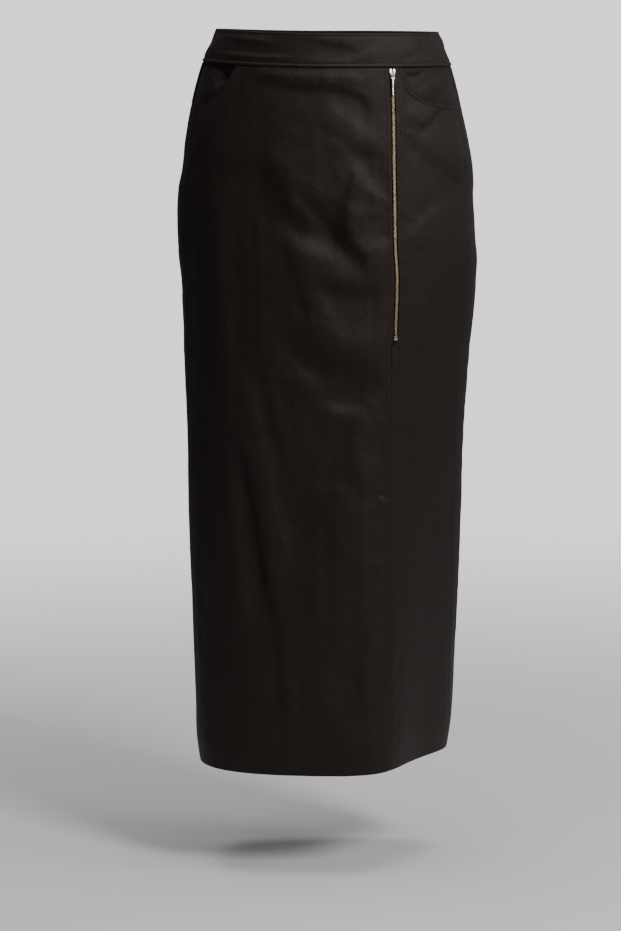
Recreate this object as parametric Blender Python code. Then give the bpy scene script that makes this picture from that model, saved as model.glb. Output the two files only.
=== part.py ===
"""Long straight skirt with a contoured waistband, scoop pockets and an off-centre exposed zip.

The skirt has the hollow form that it takes when worn. +Z is up, the front faces -Y and +X is the
wearer's left. The origin is the centre of the waistband ring, half way up the band. Each cloth piece
is a wall whose points lie on one shared surface, so that neighbours meet edge to edge.
"""

import math
from collections import namedtuple

import bpy
import numpy as np
from mathutils import Matrix, Vector

# Driving dimensions, in metres
BAND_HEIGHT = 0.043
LENGTH = 0.943  # from the band's top edge to the hem, down the front
CLOTH = 0.0015
BAND_CLOTH = 0.0026  # two plies and their interfacing
BAND_PROUD = 0.0006  # the band stands out from the panels by its seam allowance
SEAM_GAP = 0.0003  # between two pieces that are sewn edge to edge
PLY_GAP = 0.0006  # between a panel and the ply that lies under it
SEAT_GAP = 0.0003  # between a piece of metal and what it sits on

BAND_TOP = BAND_HEIGHT / 2
BAND_SEAM = -BAND_HEIGHT / 2
HEM = BAND_TOP - LENGTH
PANEL_TOP = BAND_SEAM - SEAM_GAP
UNDER = CLOTH + PLY_GAP  # how far in the outer face of an under ply lies

# The rings of the worn skirt, from the band's top edge to the hem. middle is where the ring's centre
# lies in x. front and back are the depths before and behind the side line. hem_share is how far the
# ring has taken the hem's outline. rise_right and rise_left lift the cloth at the two sides, where it
# rides up over the hips.
Ring = namedtuple("Ring", "height middle half_width front back hem_share rise_right rise_left")
RINGS = [
    Ring(0.0215, 0.0003, 0.1410, 0.0970, 0.0930, 0.00, 0.0040, 0.0000),
    Ring(-0.0215, 0.0000, 0.1582, 0.1035, 0.1040, 0.00, 0.0055, 0.0000),
    Ring(-0.0650, -0.0008, 0.1703, 0.1090, 0.1170, 0.00, 0.0050, 0.0000),
    Ring(-0.1290, -0.0009, 0.1828, 0.1150, 0.1310, 0.00, 0.0040, 0.0000),
    Ring(-0.2000, 0.0000, 0.1905, 0.1190, 0.1400, 0.02, 0.0030, 0.0000),
    Ring(-0.2700, 0.0022, 0.1927, 0.1210, 0.1410, 0.08, 0.0030, 0.0000),
    Ring(-0.4500, 0.0008, 0.1885, 0.1210, 0.1370, 0.32, 0.0030, 0.0010),
    Ring(-0.6500, 0.0000, 0.1900, 0.1200, 0.1320, 0.60, 0.0040, 0.0030),
    Ring(-0.9215, 0.0000, 0.1820, 0.1190, 0.1280, 1.00, 0.0050, 0.0060),
]

# The hem's outline: flat across the front, a soft corner at the vent, then straight back to the side
HemPoint = namedtuple("HemPoint", "turn_deg x y")
HEM_OUTLINE = [
    HemPoint(-150, -0.0900, 0.1150),
    HemPoint(-118, -0.1480, 0.0700),
    HemPoint(-88, -0.1690, -0.0250),
    HemPoint(-58, -0.1430, -0.0890),
    HemPoint(-30, -0.0830, -0.1120),
    HemPoint(0, 0.0040, -0.1190),
    HemPoint(27, 0.0750, -0.1010),
    HemPoint(52, 0.1180, -0.0340),
    HemPoint(80, 0.1585, 0.0300),
    HemPoint(108, 0.1525, 0.0900),
    HemPoint(145, 0.0850, 0.1230),
    HemPoint(180, 0.0000, 0.1270),
]

# Where the side seams lie, as turns about +Z from the front. The skirt sits turned a little to the
# wearer's right, so the seams aren't the same either side.
SideSeams = namedtuple("SideSeams", "height right_deg left_deg")
SIDE_SEAMS = [
    SideSeams(0.0215, -86, 78),
    SideSeams(-0.0760, -82, 76),
    SideSeams(-0.1500, -78, 69),
    SideSeams(-0.2600, -77, 67),
    SideSeams(-0.5000, -79, 69),
    SideSeams(-0.9215, -86, 80),
]
BACK_SEAM_TURN = math.radians(176)

# The exposed zip, by its centre line across the front, and the lapped seam with its vent below it
ZipPoint = namedtuple("ZipPoint", "height x")
ZIP_LINE = [
    ZipPoint(-0.0215, 0.0808),
    ZipPoint(-0.0900, 0.0832),
    ZipPoint(-0.1500, 0.0839),
    ZipPoint(-0.2100, 0.0850),
    ZipPoint(-0.2500, 0.0858),
    ZipPoint(-0.2800, 0.0877),
    ZipPoint(-0.3350, 0.0868),
    ZipPoint(-0.3700, 0.0863),
]
LAP_SEAM_X = 0.0806
LAP_BEGINS, LAP_SETTLES = -0.364, -0.385  # the zip's slit closes into the seam between these
VENT_TOP = -0.728
UNDERLAP_WIDTH = 0.040

# The scoop pockets: where each meets the band and the side seam, and how square its curve is
Scoop = namedtuple("Scoop", "band_turn_deg end_height squareness")
SCOOP_RIGHT = Scoop(-47.5, -0.0735, 2.4)
SCOOP_LEFT = Scoop(36.0, -0.0725, 3.0)
POCKET_DEPTH = 0.165  # from the band's seam to the bottom of the pocket bag

# The largest folds, on the front as seen from before it: where each starts and ends, how far its
# middle bows sideways, its half width and its height, which is below 0 for a trough
Fold = namedtuple("Fold", "x0 z0 x1 z1 bow width height")
FOLDS = [
    Fold(-0.095, -0.030, 0.062, -0.105, -0.016, 0.017, -0.0030),
    Fold(0.026, -0.145, 0.044, -0.265, -0.014, 0.016, -0.0045),
    Fold(-0.050, -0.228, 0.070, -0.247, -0.034, 0.018, 0.0035),
    Fold(-0.074, -0.150, -0.020, -0.235, 0.006, 0.018, -0.0025),
    Fold(-0.048, -0.250, 0.070, -0.375, 0.010, 0.028, -0.0030),
    Fold(-0.106, -0.500, -0.052, -0.850, 0.010, 0.022, -0.0050),
    Fold(-0.096, -0.440, -0.044, -0.620, 0.004, 0.022, 0.0030),
]
FOLD_HOLD = 0.020  # the folds fade over this distance from the zip and the lapped seam

# Zip hardware
CHAIN_WIDTH, CHAIN_THICKNESS = 0.0042, 0.0022
SLIT_HALF = 0.0031
TAPE_HALF, TAPE_THICKNESS = 0.0092, 0.0006
ZIP_TOP, ZIP_BOTTOM = -0.0225, -0.3672
STOP_WIDTH, STOP_HEIGHT, STOP_THICKNESS = 0.0052, 0.0054, 0.0026
SLIDER_LENGTH, SLIDER_WIDTH, SLIDER_TAIL, PLATE_THICKNESS = 0.0135, 0.0088, 0.0056, 0.0014
FRONT_PULL_LENGTH = 0.0300

BACK_TAPE_HALF, BACK_ZIP_BOTTOM = 0.0110, -0.2000
BACK_SLIDER_LENGTH, BACK_SLIDER_WIDTH = 0.0100, 0.0052
BACK_PULL_LENGTH = 0.0140

# The pull's hinge: a bar that turns under the slider's arched bridge
BAR_RADIUS, BRIDGE_INNER, BRIDGE_OUTER, BRIDGE_WIDTH = 0.0006, 0.0011, 0.0021, 0.0014
BAR_LIFT = 0.0010  # from the plate's outer face to the bar's centre
TAB_THICKNESS, TAB_HOLE_WIDTH, TAB_HOLE_END = 0.0009, 0.0022, 0.0042
TAB_HEAD_WIDTH = 0.0042

# Mesh resolution
ROWS = 28
ROW_CROWDING = 1.2  # above 1, the rows are closer together near the band
ROW_MARGIN = 0.007  # no two rows are closer than this
SHARED_ROWS = -0.20  # below this height, neighbouring pieces have their rows at the same heights
FRONT_RIGHT_COLUMNS, FRONT_LEFT_COLUMNS, BACK_COLUMNS, SCOOP_COLUMNS = 18, 8, 10, 8
BAND_COLUMNS_FRONT, BAND_COLUMNS_BACK, BAND_ROWS = 26, 13, 2

SATEEN = (0.0105, 0.0098, 0.0098)
POCKET_CLOTH = (0.012, 0.011, 0.011)
TAPE_BLACK = (0.008, 0.008, 0.008)
BRASS = (0.83, 0.66, 0.38)
BLACK_ENAMEL = (0.012, 0.012, 0.013)


# ---- Smooth curves through the tables ----


def spline_slopes(knots, values, closed):
    """The slope at each knot of the smoothest piecewise cubic through the values."""
    count = len(knots)
    steps = np.diff(knots)
    rises = np.diff(values) / steps
    matrix = np.zeros((count, count))
    target = np.zeros(count)
    for i in range(1, count - 1):
        matrix[i, i - 1 : i + 2] = steps[i], 2 * (steps[i - 1] + steps[i]), steps[i - 1]
        target[i] = 3 * (steps[i] * rises[i - 1] + steps[i - 1] * rises[i])
    if closed:  # the last knot is the first one again
        matrix[0, 0] = 1
        matrix[0, -1] = -1
        matrix[-1, [0, 1, -2, -1]] = steps[-1], 0, steps[0], steps[-1]
        matrix[-1, [0, 1, -2]] = 2 * steps[-1], steps[-1], steps[0]
        matrix[-1, -1] = 2 * steps[0]
        target[-1] = 3 * (steps[0] * rises[-1] + steps[-1] * rises[0])
    else:
        matrix[0, :2] = 2, 1
        matrix[-1, -2:] = 1, 2
        target[0] = 3 * rises[0]
        target[-1] = 3 * rises[-1]
    return np.linalg.solve(matrix, target)


def smooth_curve(knots, values, closed=False):
    """A function that reads the smooth curve through these knots, in rising order."""
    knots = np.asarray(knots, float)
    values = np.asarray(values, float)
    slopes = spline_slopes(knots, values, closed)

    def read(at):
        at = np.clip(at, knots[0], knots[-1])
        i = np.clip(np.searchsorted(knots, at) - 1, 0, len(knots) - 2)
        step = knots[i + 1] - knots[i]
        t = (at - knots[i]) / step
        return (
            values[i] * (1 + 2 * t) * (1 - t) ** 2
            + slopes[i] * step * t * (1 - t) ** 2
            + values[i + 1] * t * t * (3 - 2 * t)
            + slopes[i + 1] * step * t * t * (t - 1)
        )

    return read


def by_height(rows, column):
    """The smooth curve of one column of a table against its height."""
    rows = sorted(rows, key=lambda row: row.height)
    return smooth_curve([row.height for row in rows], [getattr(row, column) for row in rows])


def smooth_step(start, end, at):
    t = np.clip((at - start) / (end - start), 0, 1)
    return t * t * (3 - 2 * t)


RING_CURVES = {column: by_height(RINGS, column) for column in Ring._fields[1:]}
RIGHT_SEAM_DEG = by_height(SIDE_SEAMS, "right_deg")
LEFT_SEAM_DEG = by_height(SIDE_SEAMS, "left_deg")
ZIP_X = by_height(ZIP_LINE, "x")

HEM_TURNS = [math.radians(p.turn_deg) for p in HEM_OUTLINE]
HEM_TURNS = [HEM_TURNS[-1] - 2 * math.pi, *HEM_TURNS]
HEM_X = smooth_curve(HEM_TURNS, [HEM_OUTLINE[-1].x, *(p.x for p in HEM_OUTLINE)], closed=True)
HEM_Y = smooth_curve(HEM_TURNS, [HEM_OUTLINE[-1].y, *(p.y for p in HEM_OUTLINE)], closed=True)


# ---- The surface of the worn skirt ----


def bare_surface(turn, height):
    """The points of the surface with no folds, as an array whose last axis is x, y, z."""
    turn, height = np.broadcast_arrays(np.asarray(turn, float), np.asarray(height, float))
    ring = {column: curve(height) for column, curve in RING_CURVES.items()}
    sine, cosine = np.sin(turn), np.cos(turn)
    depth = np.where(cosine > 0, ring["front"], ring["back"])
    share = ring["hem_share"]
    wrapped = (turn + math.pi) % (2 * math.pi) - math.pi
    x = (1 - share) * (ring["middle"] + ring["half_width"] * sine) + share * HEM_X(wrapped)
    y = (share - 1) * depth * cosine + share * HEM_Y(wrapped)
    rise = ring["rise_right"] * np.maximum(-sine, 0) ** 2
    rise = rise + ring["rise_left"] * np.maximum(sine, 0) ** 2
    return np.stack([x, y, height + rise], axis=-1)


def normal_at(turn, height):
    """The outward normals of the surface with no folds."""
    step = 1e-3
    along = bare_surface(turn + step, height) - bare_surface(turn - step, height)
    upward = bare_surface(turn, height + step) - bare_surface(turn, height - step)
    normal = np.cross(along, upward)
    return normal / np.linalg.norm(normal, axis=-1, keepdims=True)


def fold_height(turn, height):
    """How far the folds move the cloth out, or in where it is below 0."""
    points = bare_surface(turn, height)
    x, z = points[..., 0], points[..., 2]
    total = np.zeros(x.shape)
    for fold in FOLDS:
        ends = np.array([[fold.x0, fold.z0], [fold.x1, fold.z1]])
        along = ends[1] - ends[0]
        length = np.linalg.norm(along)
        along = along / length
        across = np.array([-along[1], along[0]])
        s = ((x - fold.x0) * along[0] + (z - fold.z0) * along[1]) / length
        t = (x - fold.x0) * across[0] + (z - fold.z0) * across[1]
        t = t - fold.bow * 4 * s * (1 - s)
        taper = smooth_step(-0.1, 0.35, s) * smooth_step(1.1, 0.65, s)
        total = total + fold.height * taper * np.exp(-((t / fold.width) ** 2))
    held = np.abs(x - np.where(height > LAP_BEGINS, ZIP_X(height), LAP_SEAM_X))
    return total * smooth_step(0, FOLD_HOLD, held) * smooth_step(0, 0.3, np.cos(turn))


def cloth_points(turn, height, inward=0.0):
    """Points on the folded surface, moved in by this much."""
    move = fold_height(turn, height) - inward
    return bare_surface(turn, height) + normal_at(turn, height) * move[..., None]


def shifted(turn, height, distance):
    """The turn that lies this far along the cloth towards the wearer's left."""
    step = 1e-3
    along = bare_surface(turn + step, height) - bare_surface(turn - step, height)
    return turn + distance * 2 * step / np.linalg.norm(along, axis=-1)


def turn_at_x(x, height):
    """The turn on the front at which the surface has this x."""
    low = np.zeros(np.shape(height))
    high = np.full(np.shape(height), math.radians(60))
    for _ in range(30):
        middle = (low + high) / 2
        below = bare_surface(middle, height)[..., 0] < x
        low, high = np.where(below, middle, low), np.where(below, high, middle)
    return (low + high) / 2


# ---- Seams, each as a turn for every height ----


def right_seam(height):
    return np.radians(RIGHT_SEAM_DEG(height))


def left_seam(height):
    return np.radians(LEFT_SEAM_DEG(height))


def back_seam(height):
    return np.full(np.shape(height), BACK_SEAM_TURN)


def zip_turn(height):
    return turn_at_x(ZIP_X(height), height)


def lap_edge(height, side):
    """The edge of a front panel at the zip and below it. side is -1 for the right one."""
    lap = turn_at_x(np.full(np.shape(height), LAP_SEAM_X), height)
    lap = shifted(lap, height, side * SEAM_GAP / 2)
    slit = shifted(zip_turn(height), height, side * SLIT_HALF)
    return slit + (lap - slit) * smooth_step(LAP_BEGINS, LAP_SETTLES, height)


def beside(seam, distance):
    """The edge that lies this far from a seam, towards the wearer's left."""
    return lambda height: shifted(seam(height), height, distance)


# ---- Cloth pieces ----


def row_heights(top, bottom):
    """The shared row heights that lie between these two, with the two themselves."""
    spread = PANEL_TOP - (PANEL_TOP - HEM) * (np.arange(ROWS + 1) / ROWS) ** ROW_CROWDING
    keys = np.array([LAP_BEGINS, LAP_SETTLES])
    clear = np.abs(spread[:, None] - keys).min(axis=1) > ROW_MARGIN
    shared = np.sort([*spread[clear], *keys])[::-1]
    inside = shared[(shared < top - ROW_MARGIN) & (shared > bottom + ROW_MARGIN)]
    return np.array([top, *inside, bottom])


def principled(name, colour, roughness, metallic=0.0):
    material = bpy.data.materials.new(name)
    material.use_nodes = True
    shader = material.node_tree.nodes["Principled BSDF"]
    shader.inputs["Base Color"].default_value = (*colour, 1)
    shader.inputs["Roughness"].default_value = roughness
    shader.inputs["Metallic"].default_value = metallic
    return material


def sateen(name):
    return principled(name + "_cloth", SATEEN, 0.42)


def wall(name, turns, heights, inward, thickness, material):
    """A closed wall: its outer face is this far in from the surface, its inner face a thickness more.

    turns and heights are grids, with rows down the skirt and columns to the wearer's left.
    """
    rows, columns = turns.shape
    outer = cloth_points(turns, heights, inward).reshape(-1, 3)
    inner = cloth_points(turns, heights, inward + thickness).reshape(-1, 3)
    index = np.arange(rows * columns).reshape(rows, columns)
    count = rows * columns
    faces = []
    for r in range(rows - 1):
        for c in range(columns - 1):
            quad = (index[r + 1, c], index[r + 1, c + 1], index[r, c + 1], index[r, c])
            faces.append(quad)
            faces.append(tuple(i + count for i in quad[::-1]))
    edge = [*index[:-1, 0], *index[-1, :-1], *index[:0:-1, -1], *index[0, :0:-1]]
    for i, j in zip(edge, edge[1:] + edge[:1]):
        faces.append((j, i, i + count, j + count))
    mesh = bpy.data.meshes.new(name)
    points = np.concatenate([outer, inner]).tolist()
    mesh.from_pydata(points, [], [tuple(int(i) for i in face) for face in faces])
    mesh.shade_smooth()
    mesh.set_sharp_from_angle(angle=math.radians(40))
    mesh.materials.append(material)
    obj = bpy.data.objects.new(name, mesh)
    bpy.context.scene.collection.objects.link(obj)
    return obj


def panel(name, left, right, tops, bottom, shares, thickness=CLOTH, inward=0.0, material=None):
    """A cloth piece between two edges, each a turn for every height.

    shares are the columns, from 0 at the first edge to 1 at the second, and tops gives each column's
    top height. A column whose top is lower has its rows closer together above SHARED_ROWS.
    """
    heights = row_heights(np.max(tops), bottom)[:, None] + np.zeros(len(tops))
    floor = max(SHARED_ROWS, bottom)
    squeeze = (np.asarray(tops) - floor) / (heights[0] - floor)
    heights = np.where(heights > floor, floor + (heights - floor) * squeeze, heights)
    turns = left(heights) + np.asarray(shares)[None, :] * (right(heights) - left(heights))
    return wall(name, turns, heights, inward, thickness, material or sateen(name))


def even(count):
    return np.linspace(0, 1, count + 1)


def scoop_columns(left, right, scoop, plain_columns, side_first):
    """The columns of a front panel and their tops, which follow the scoop near the side seam."""
    near, far = (left, right) if side_first else (right, left)
    start, end = near(np.array(PANEL_TOP)), far(np.array(PANEL_TOP))
    band_share = (math.radians(scoop.band_turn_deg) - start) / (end - start)
    steps = np.sin(np.linspace(0, math.pi / 2, SCOOP_COLUMNS + 1))
    fall = (1 - steps**scoop.squareness) ** (1 / scoop.squareness)
    shares = np.concatenate([steps * band_share, band_share + (1 - band_share) * even(plain_columns)[1:]])
    tops = np.full(len(shares), PANEL_TOP)
    tops[: len(steps)] = PANEL_TOP - (PANEL_TOP - scoop.end_height) * fall
    return (shares, tops) if side_first else (1 - shares[::-1], tops[::-1])


def make_waistband():
    half_gap = SEAM_GAP / 2
    parts = [
        ("waistband_front", right_seam, left_seam, 0.0, BAND_COLUMNS_FRONT),
        ("waistband_back_left", left_seam, back_seam, 0.0, BAND_COLUMNS_BACK),
        ("waistband_back_right", back_seam, right_seam, 2 * math.pi, BAND_COLUMNS_BACK),
    ]
    for name, start, end, wrap, columns in parts:
        heights = np.linspace(BAND_TOP, BAND_SEAM, BAND_ROWS + 1)[:, None] + np.zeros(columns + 1)
        first = shifted(start(heights), heights, half_gap)
        last = shifted(end(heights) + wrap, heights, -half_gap)
        turns = first + even(columns) * (last - first)
        wall(name, turns, heights, -BAND_PROUD, BAND_CLOTH, sateen(name))


def make_front():
    """The two front panels, cut away at the top outer corners for the pocket mouths."""
    half_gap = SEAM_GAP / 2

    def right_edge(height):
        return lap_edge(height, -1)

    def left_edge(height):
        return lap_edge(height, 1)

    right_side, left_side = beside(right_seam, half_gap), beside(left_seam, -half_gap)
    shares, tops = scoop_columns(right_side, right_edge, SCOOP_RIGHT, FRONT_RIGHT_COLUMNS, True)
    panel("front_right", right_side, right_edge, tops, HEM, shares)
    make_pocket("pocket_right", right_side, right_edge, shares, tops)
    make_underlap(right_side, right_edge, shares)

    shares, tops = scoop_columns(left_edge, left_side, SCOOP_LEFT, FRONT_LEFT_COLUMNS, False)
    panel("front_left", left_edge, left_side, tops, HEM, shares)
    make_pocket("pocket_left", left_edge, left_side, shares, tops)


def make_pocket(name, left, right, shares, tops):
    """The pocket's bearer and flat bag, which lie under the panel and show in the scoop."""
    shown = np.flatnonzero(tops < PANEL_TOP)
    shares = shares[max(shown[0] - 1, 0) : shown[-1] + 2]
    tops = np.full(len(shares), PANEL_TOP)
    colour = principled(name + "_cloth", POCKET_CLOTH, 0.5)
    panel(name, left, right, tops, BAND_SEAM - POCKET_DEPTH, shares, CLOTH, UNDER, colour)


def make_underlap(left, right, shares):
    """The vent's underlap: the narrow panel's extension, behind the edge of the wide one."""
    heights = row_heights(VENT_TOP, HEM)[:, None]
    edge = right(heights)
    reach = shifted(edge, heights, -UNDERLAP_WIDTH)
    under_wide = even(3)[None, :] * (edge - reach) + reach
    beyond = shifted(edge, heights, 0.010)
    turns = np.concatenate([under_wide, beyond], axis=1)
    heights = heights + np.zeros(turns.shape[1])
    wall("vent_underlap", turns, heights, UNDER, CLOTH, sateen("vent_underlap"))


def make_back():
    half_gap = SEAM_GAP / 2
    tops = np.full(BACK_COLUMNS + 1, PANEL_TOP)

    def right_seam_round(height):
        return right_seam(height) + 2 * math.pi

    panel(
        "back_left",
        beside(left_seam, half_gap),
        beside(back_seam, -half_gap),
        tops,
        HEM,
        even(BACK_COLUMNS),
    )
    panel(
        "back_right",
        beside(back_seam, half_gap),
        beside(right_seam_round, -half_gap),
        tops,
        HEM,
        even(BACK_COLUMNS),
    )


def strip(name, line, near, far, top, bottom, outer, thickness, material):
    """A narrow piece along a line, between two distances from it, with its outer face this far in."""
    heights = row_heights(top, bottom)[:, None]
    centre = line(heights)
    turns = np.concatenate([shifted(centre, heights, d) for d in (near, far)], axis=1)
    heights = heights + np.zeros(2)
    return wall(name, turns, heights, outer, thickness, material)


def make_front_zip_tapes():
    half_gap = SEAM_GAP / 2
    for name, near, far in (
        ("zip_tape_right", -TAPE_HALF, -half_gap),
        ("zip_tape_left", half_gap, TAPE_HALF),
    ):
        tape = principled(name + "_weave", TAPE_BLACK, 0.75)
        strip(name, zip_turn, near, far, ZIP_TOP, ZIP_BOTTOM, UNDER, TAPE_THICKNESS, tape)


def make_back_zip_tapes():
    half_gap = SEAM_GAP / 2
    inward = BAND_CLOTH - BAND_PROUD + PLY_GAP
    for name, near, far in (
        ("back_zip_tape_left", -BACK_TAPE_HALF, -half_gap),
        ("back_zip_tape_right", half_gap, BACK_TAPE_HALF),
    ):
        tape = principled(name + "_weave", TAPE_BLACK, 0.75)
        top = BAND_TOP - 0.004
        strip(name, back_seam, near, far, top, BACK_ZIP_BOTTOM, inward, TAPE_THICKNESS, tape)


# ---- Zip hardware, each piece in its own frame: y outwards, z up the zip, x across it ----


def frame_at(turn, height, outward):
    """The frame of a piece of hardware that sits this far out from the cloth."""
    turn, height = np.array(turn), np.array(height)
    step = 1e-3
    across = Vector(bare_surface(turn + step, height) - bare_surface(turn - step, height))
    out = Vector(normal_at(turn, height)).normalized()
    up = out.cross(across).normalized()
    place = Vector(cloth_points(turn, height, -outward))
    axes = Matrix((out.cross(up), out, up)).transposed().to_4x4()
    return Matrix.Translation(place) @ axes


def solid_object(name, vertices, faces, frame, material):
    mesh = bpy.data.meshes.new(name)
    mesh.from_pydata([tuple(v) for v in vertices], [], faces)
    mesh.materials.append(material)
    obj = bpy.data.objects.new(name, mesh)
    obj.matrix_world = frame
    bpy.context.scene.collection.objects.link(obj)
    return obj


def plate_mesh(outline, low, high):
    """The vertices and faces of an outline in x, z, anticlockwise seen from -y, from y low to y high."""
    count = len(outline)
    vertices = [(x, low, z) for x, z in outline] + [(x, high, z) for x, z in outline]
    faces = [tuple(range(count)), tuple(range(2 * count - 1, count - 1, -1))]
    for i in range(count):
        j = (i + 1) % count
        faces.append((j, i, i + count, j + count))
    return vertices, faces


def hidden_helper(name, vertices, faces, frame):
    helper = solid_object(name, vertices, faces, frame, None)
    helper.hide_render = True
    helper.display_type = "WIRE"
    return helper


def combine(obj, other, operation):
    change = obj.modifiers.new(other.name, "BOOLEAN")
    change.operation = operation
    change.object = other
    change.solver = "EXACT"


def arch_outline():
    """Half a ring in z, y, with legs that go down into the plate."""
    turns = np.linspace(0, math.pi, 9)
    foot = -BAR_LIFT - PLATE_THICKNESS / 2
    outer = [(BRIDGE_OUTER * math.cos(a), BRIDGE_OUTER * math.sin(a)) for a in turns]
    inner = [(BRIDGE_INNER * math.cos(a), BRIDGE_INNER * math.sin(a)) for a in turns[::-1]]
    outer = [(BRIDGE_OUTER, foot), *outer, (-BRIDGE_OUTER, foot)]
    return outer + [(-BRIDGE_INNER, foot), *inner, (BRIDGE_INNER, foot)]


def slider_outline(length, shoulder, tail):
    """Broad round shoulders at the top, drawn in to a narrow tail, about the bar's place."""
    top, bottom = length * 0.55, -length * 0.45
    right = [
        (tail / 2, bottom),
        (tail / 2 * 1.02, bottom + length * 0.30),
        (shoulder / 2, top - length * 0.32),
        (shoulder / 2 * 0.94, top - length * 0.14),
        (shoulder / 2 * 0.62, top - length * 0.02),
        (shoulder * 0.16, top),
        (0.0, top - length * 0.05),
    ]
    left = [(-x, z) for x, z in right[-2::-1]]
    return right + left


def make_slider(name, frame, length, shoulder, tail, material):
    """A slider's plate, with its face 0 in y, and the arched bridge that holds the pull's bar."""
    vertices, faces = plate_mesh(slider_outline(length, shoulder, tail), 0.0, PLATE_THICKNESS)
    slider = solid_object(name, vertices, faces, frame, material)
    bar_height = PLATE_THICKNESS + BAR_LIFT
    half = BRIDGE_WIDTH / 2
    outline = arch_outline()
    count = len(outline)
    arch = [(side * half, bar_height + y, z) for side in (-1, 1) for z, y in outline]
    sides = [tuple(range(count - 1, -1, -1)), tuple(range(count, 2 * count))]
    rim = [(i, (i + 1) % count, (i + 1) % count + count, i + count) for i in range(count)]
    bridge = hidden_helper(name + "_bridge", arch, sides + rim, frame)
    combine(slider, bridge, "UNION")
    return slider


def pull_outline(length, neck, knob):
    """The tab's outline below and above its bar, which lies at z = 0."""
    head = TAB_HEAD_WIDTH / 2
    right = [
        (knob * 0.30, -length),
        (knob * 0.50, -length + knob * 0.30),
        (knob * 0.50, -length + knob * 0.90),
        (neck * 0.42, -length + knob * 1.35),
        (neck * 0.50, -TAB_HOLE_END - 0.0040),
        (head, -TAB_HOLE_END - 0.0008),
        (head, -0.0002),
        (head * 0.80, BAR_RADIUS),
    ]
    left = [(-x, z) for x, z in right[::-1]]
    return right + left


def make_pull(name, frame, length, neck, knob, material):
    """A pull tab with its origin on its bar's axis, hanging down in front of the slider."""
    half = TAB_THICKNESS / 2
    vertices, faces = plate_mesh(pull_outline(length, neck, knob), -half, half)
    pull = solid_object(name, vertices, faces, frame, material)
    side = TAB_HOLE_WIDTH / 2
    hole = [(side, -TAB_HOLE_END), (side, -BAR_RADIUS), (-side, -BAR_RADIUS), (-side, -TAB_HOLE_END)]
    vertices, faces = plate_mesh(hole, -2 * half, 2 * half)
    combine(pull, hidden_helper(name + "_hole", vertices, faces, frame), "DIFFERENCE")
    return pull


def make_front_zip():
    """The metal chain in its slit, the slider at the top with its pull, and the box at the bottom."""
    brass = principled("zip_chain_brass", BRASS, 0.3, 1.0)
    half = CHAIN_WIDTH / 2
    outer = UNDER - SEAT_GAP - CHAIN_THICKNESS
    chain_bottom = ZIP_BOTTOM + STOP_HEIGHT + 0.004
    strip("zip_chain", zip_turn, -half, half, ZIP_TOP, chain_bottom, outer, CHAIN_THICKNESS, brass)

    slider_height = BAND_SEAM - SLIDER_LENGTH * 0.55 - 0.0012
    turn = zip_turn(np.array(slider_height))
    frame = frame_at(turn, slider_height, SEAT_GAP - outer)
    metal = principled("zip_slider_metal", BRASS, 0.22, 1.0)
    make_slider("zip_slider", frame, SLIDER_LENGTH, SLIDER_WIDTH, SLIDER_TAIL, metal)
    bar = frame @ Matrix.Translation((0, PLATE_THICKNESS + BAR_LIFT, 0))
    metal = principled("zip_pull_metal", BRASS, 0.22, 1.0)
    make_pull("zip_pull", bar, FRONT_PULL_LENGTH, 0.0036, 0.0034, metal)

    stop_height = chain_bottom - SEAT_GAP - STOP_HEIGHT / 2
    turn = zip_turn(np.array(stop_height))
    frame = frame_at(turn, stop_height, SEAT_GAP - UNDER)
    x, z = STOP_WIDTH / 2, STOP_HEIGHT / 2
    vertices, faces = plate_mesh([(x, -z), (x, z), (-x, z), (-x, -z)], 0.0, STOP_THICKNESS)
    metal = principled("zip_stop_metal", BRASS, 0.3, 1.0)
    solid_object("zip_stop", vertices, faces, frame, metal)


def make_back_zip():
    """The concealed zip's small slider and drop pull, at the top of the centre back seam."""
    height = BAND_TOP - 0.010
    frame = frame_at(BACK_SEAM_TURN, height, BAND_PROUD + SEAT_GAP)
    width = BACK_SLIDER_WIDTH
    enamel = principled("back_zip_slider_enamel", BLACK_ENAMEL, 0.35)
    make_slider("back_zip_slider", frame, BACK_SLIDER_LENGTH, width, width * 0.7, enamel)
    bar = frame @ Matrix.Translation((0, PLATE_THICKNESS + BAR_LIFT, 0))
    enamel = principled("back_zip_pull_enamel", BLACK_ENAMEL, 0.35)
    make_pull("back_zip_pull", bar, BACK_PULL_LENGTH, 0.0030, 0.0040, enamel)


def clear_scene():
    for obj in list(bpy.data.objects):
        bpy.data.objects.remove(obj)


def main():
    clear_scene()
    make_waistband()
    make_front()
    make_back()
    make_front_zip_tapes()
    make_back_zip_tapes()
    make_front_zip()
    make_back_zip()


main()
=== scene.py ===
"""The looks of a long straight skirt: fine cloth, folds, seams, stitches, an exposed zip and the studio.

The cloth lies on the same surface as the frame's solids. That surface, its seams and its zip line are
worked out here from the same sizes, and the folds, the seam ridges and the rolled edges go on top.
All sizes are in metres. +Z is up, the front faces -Y and +X is the wearer's left.
"""

import math
from collections import namedtuple

import bpy
import numpy as np
from mathutils import Matrix, Vector


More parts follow.
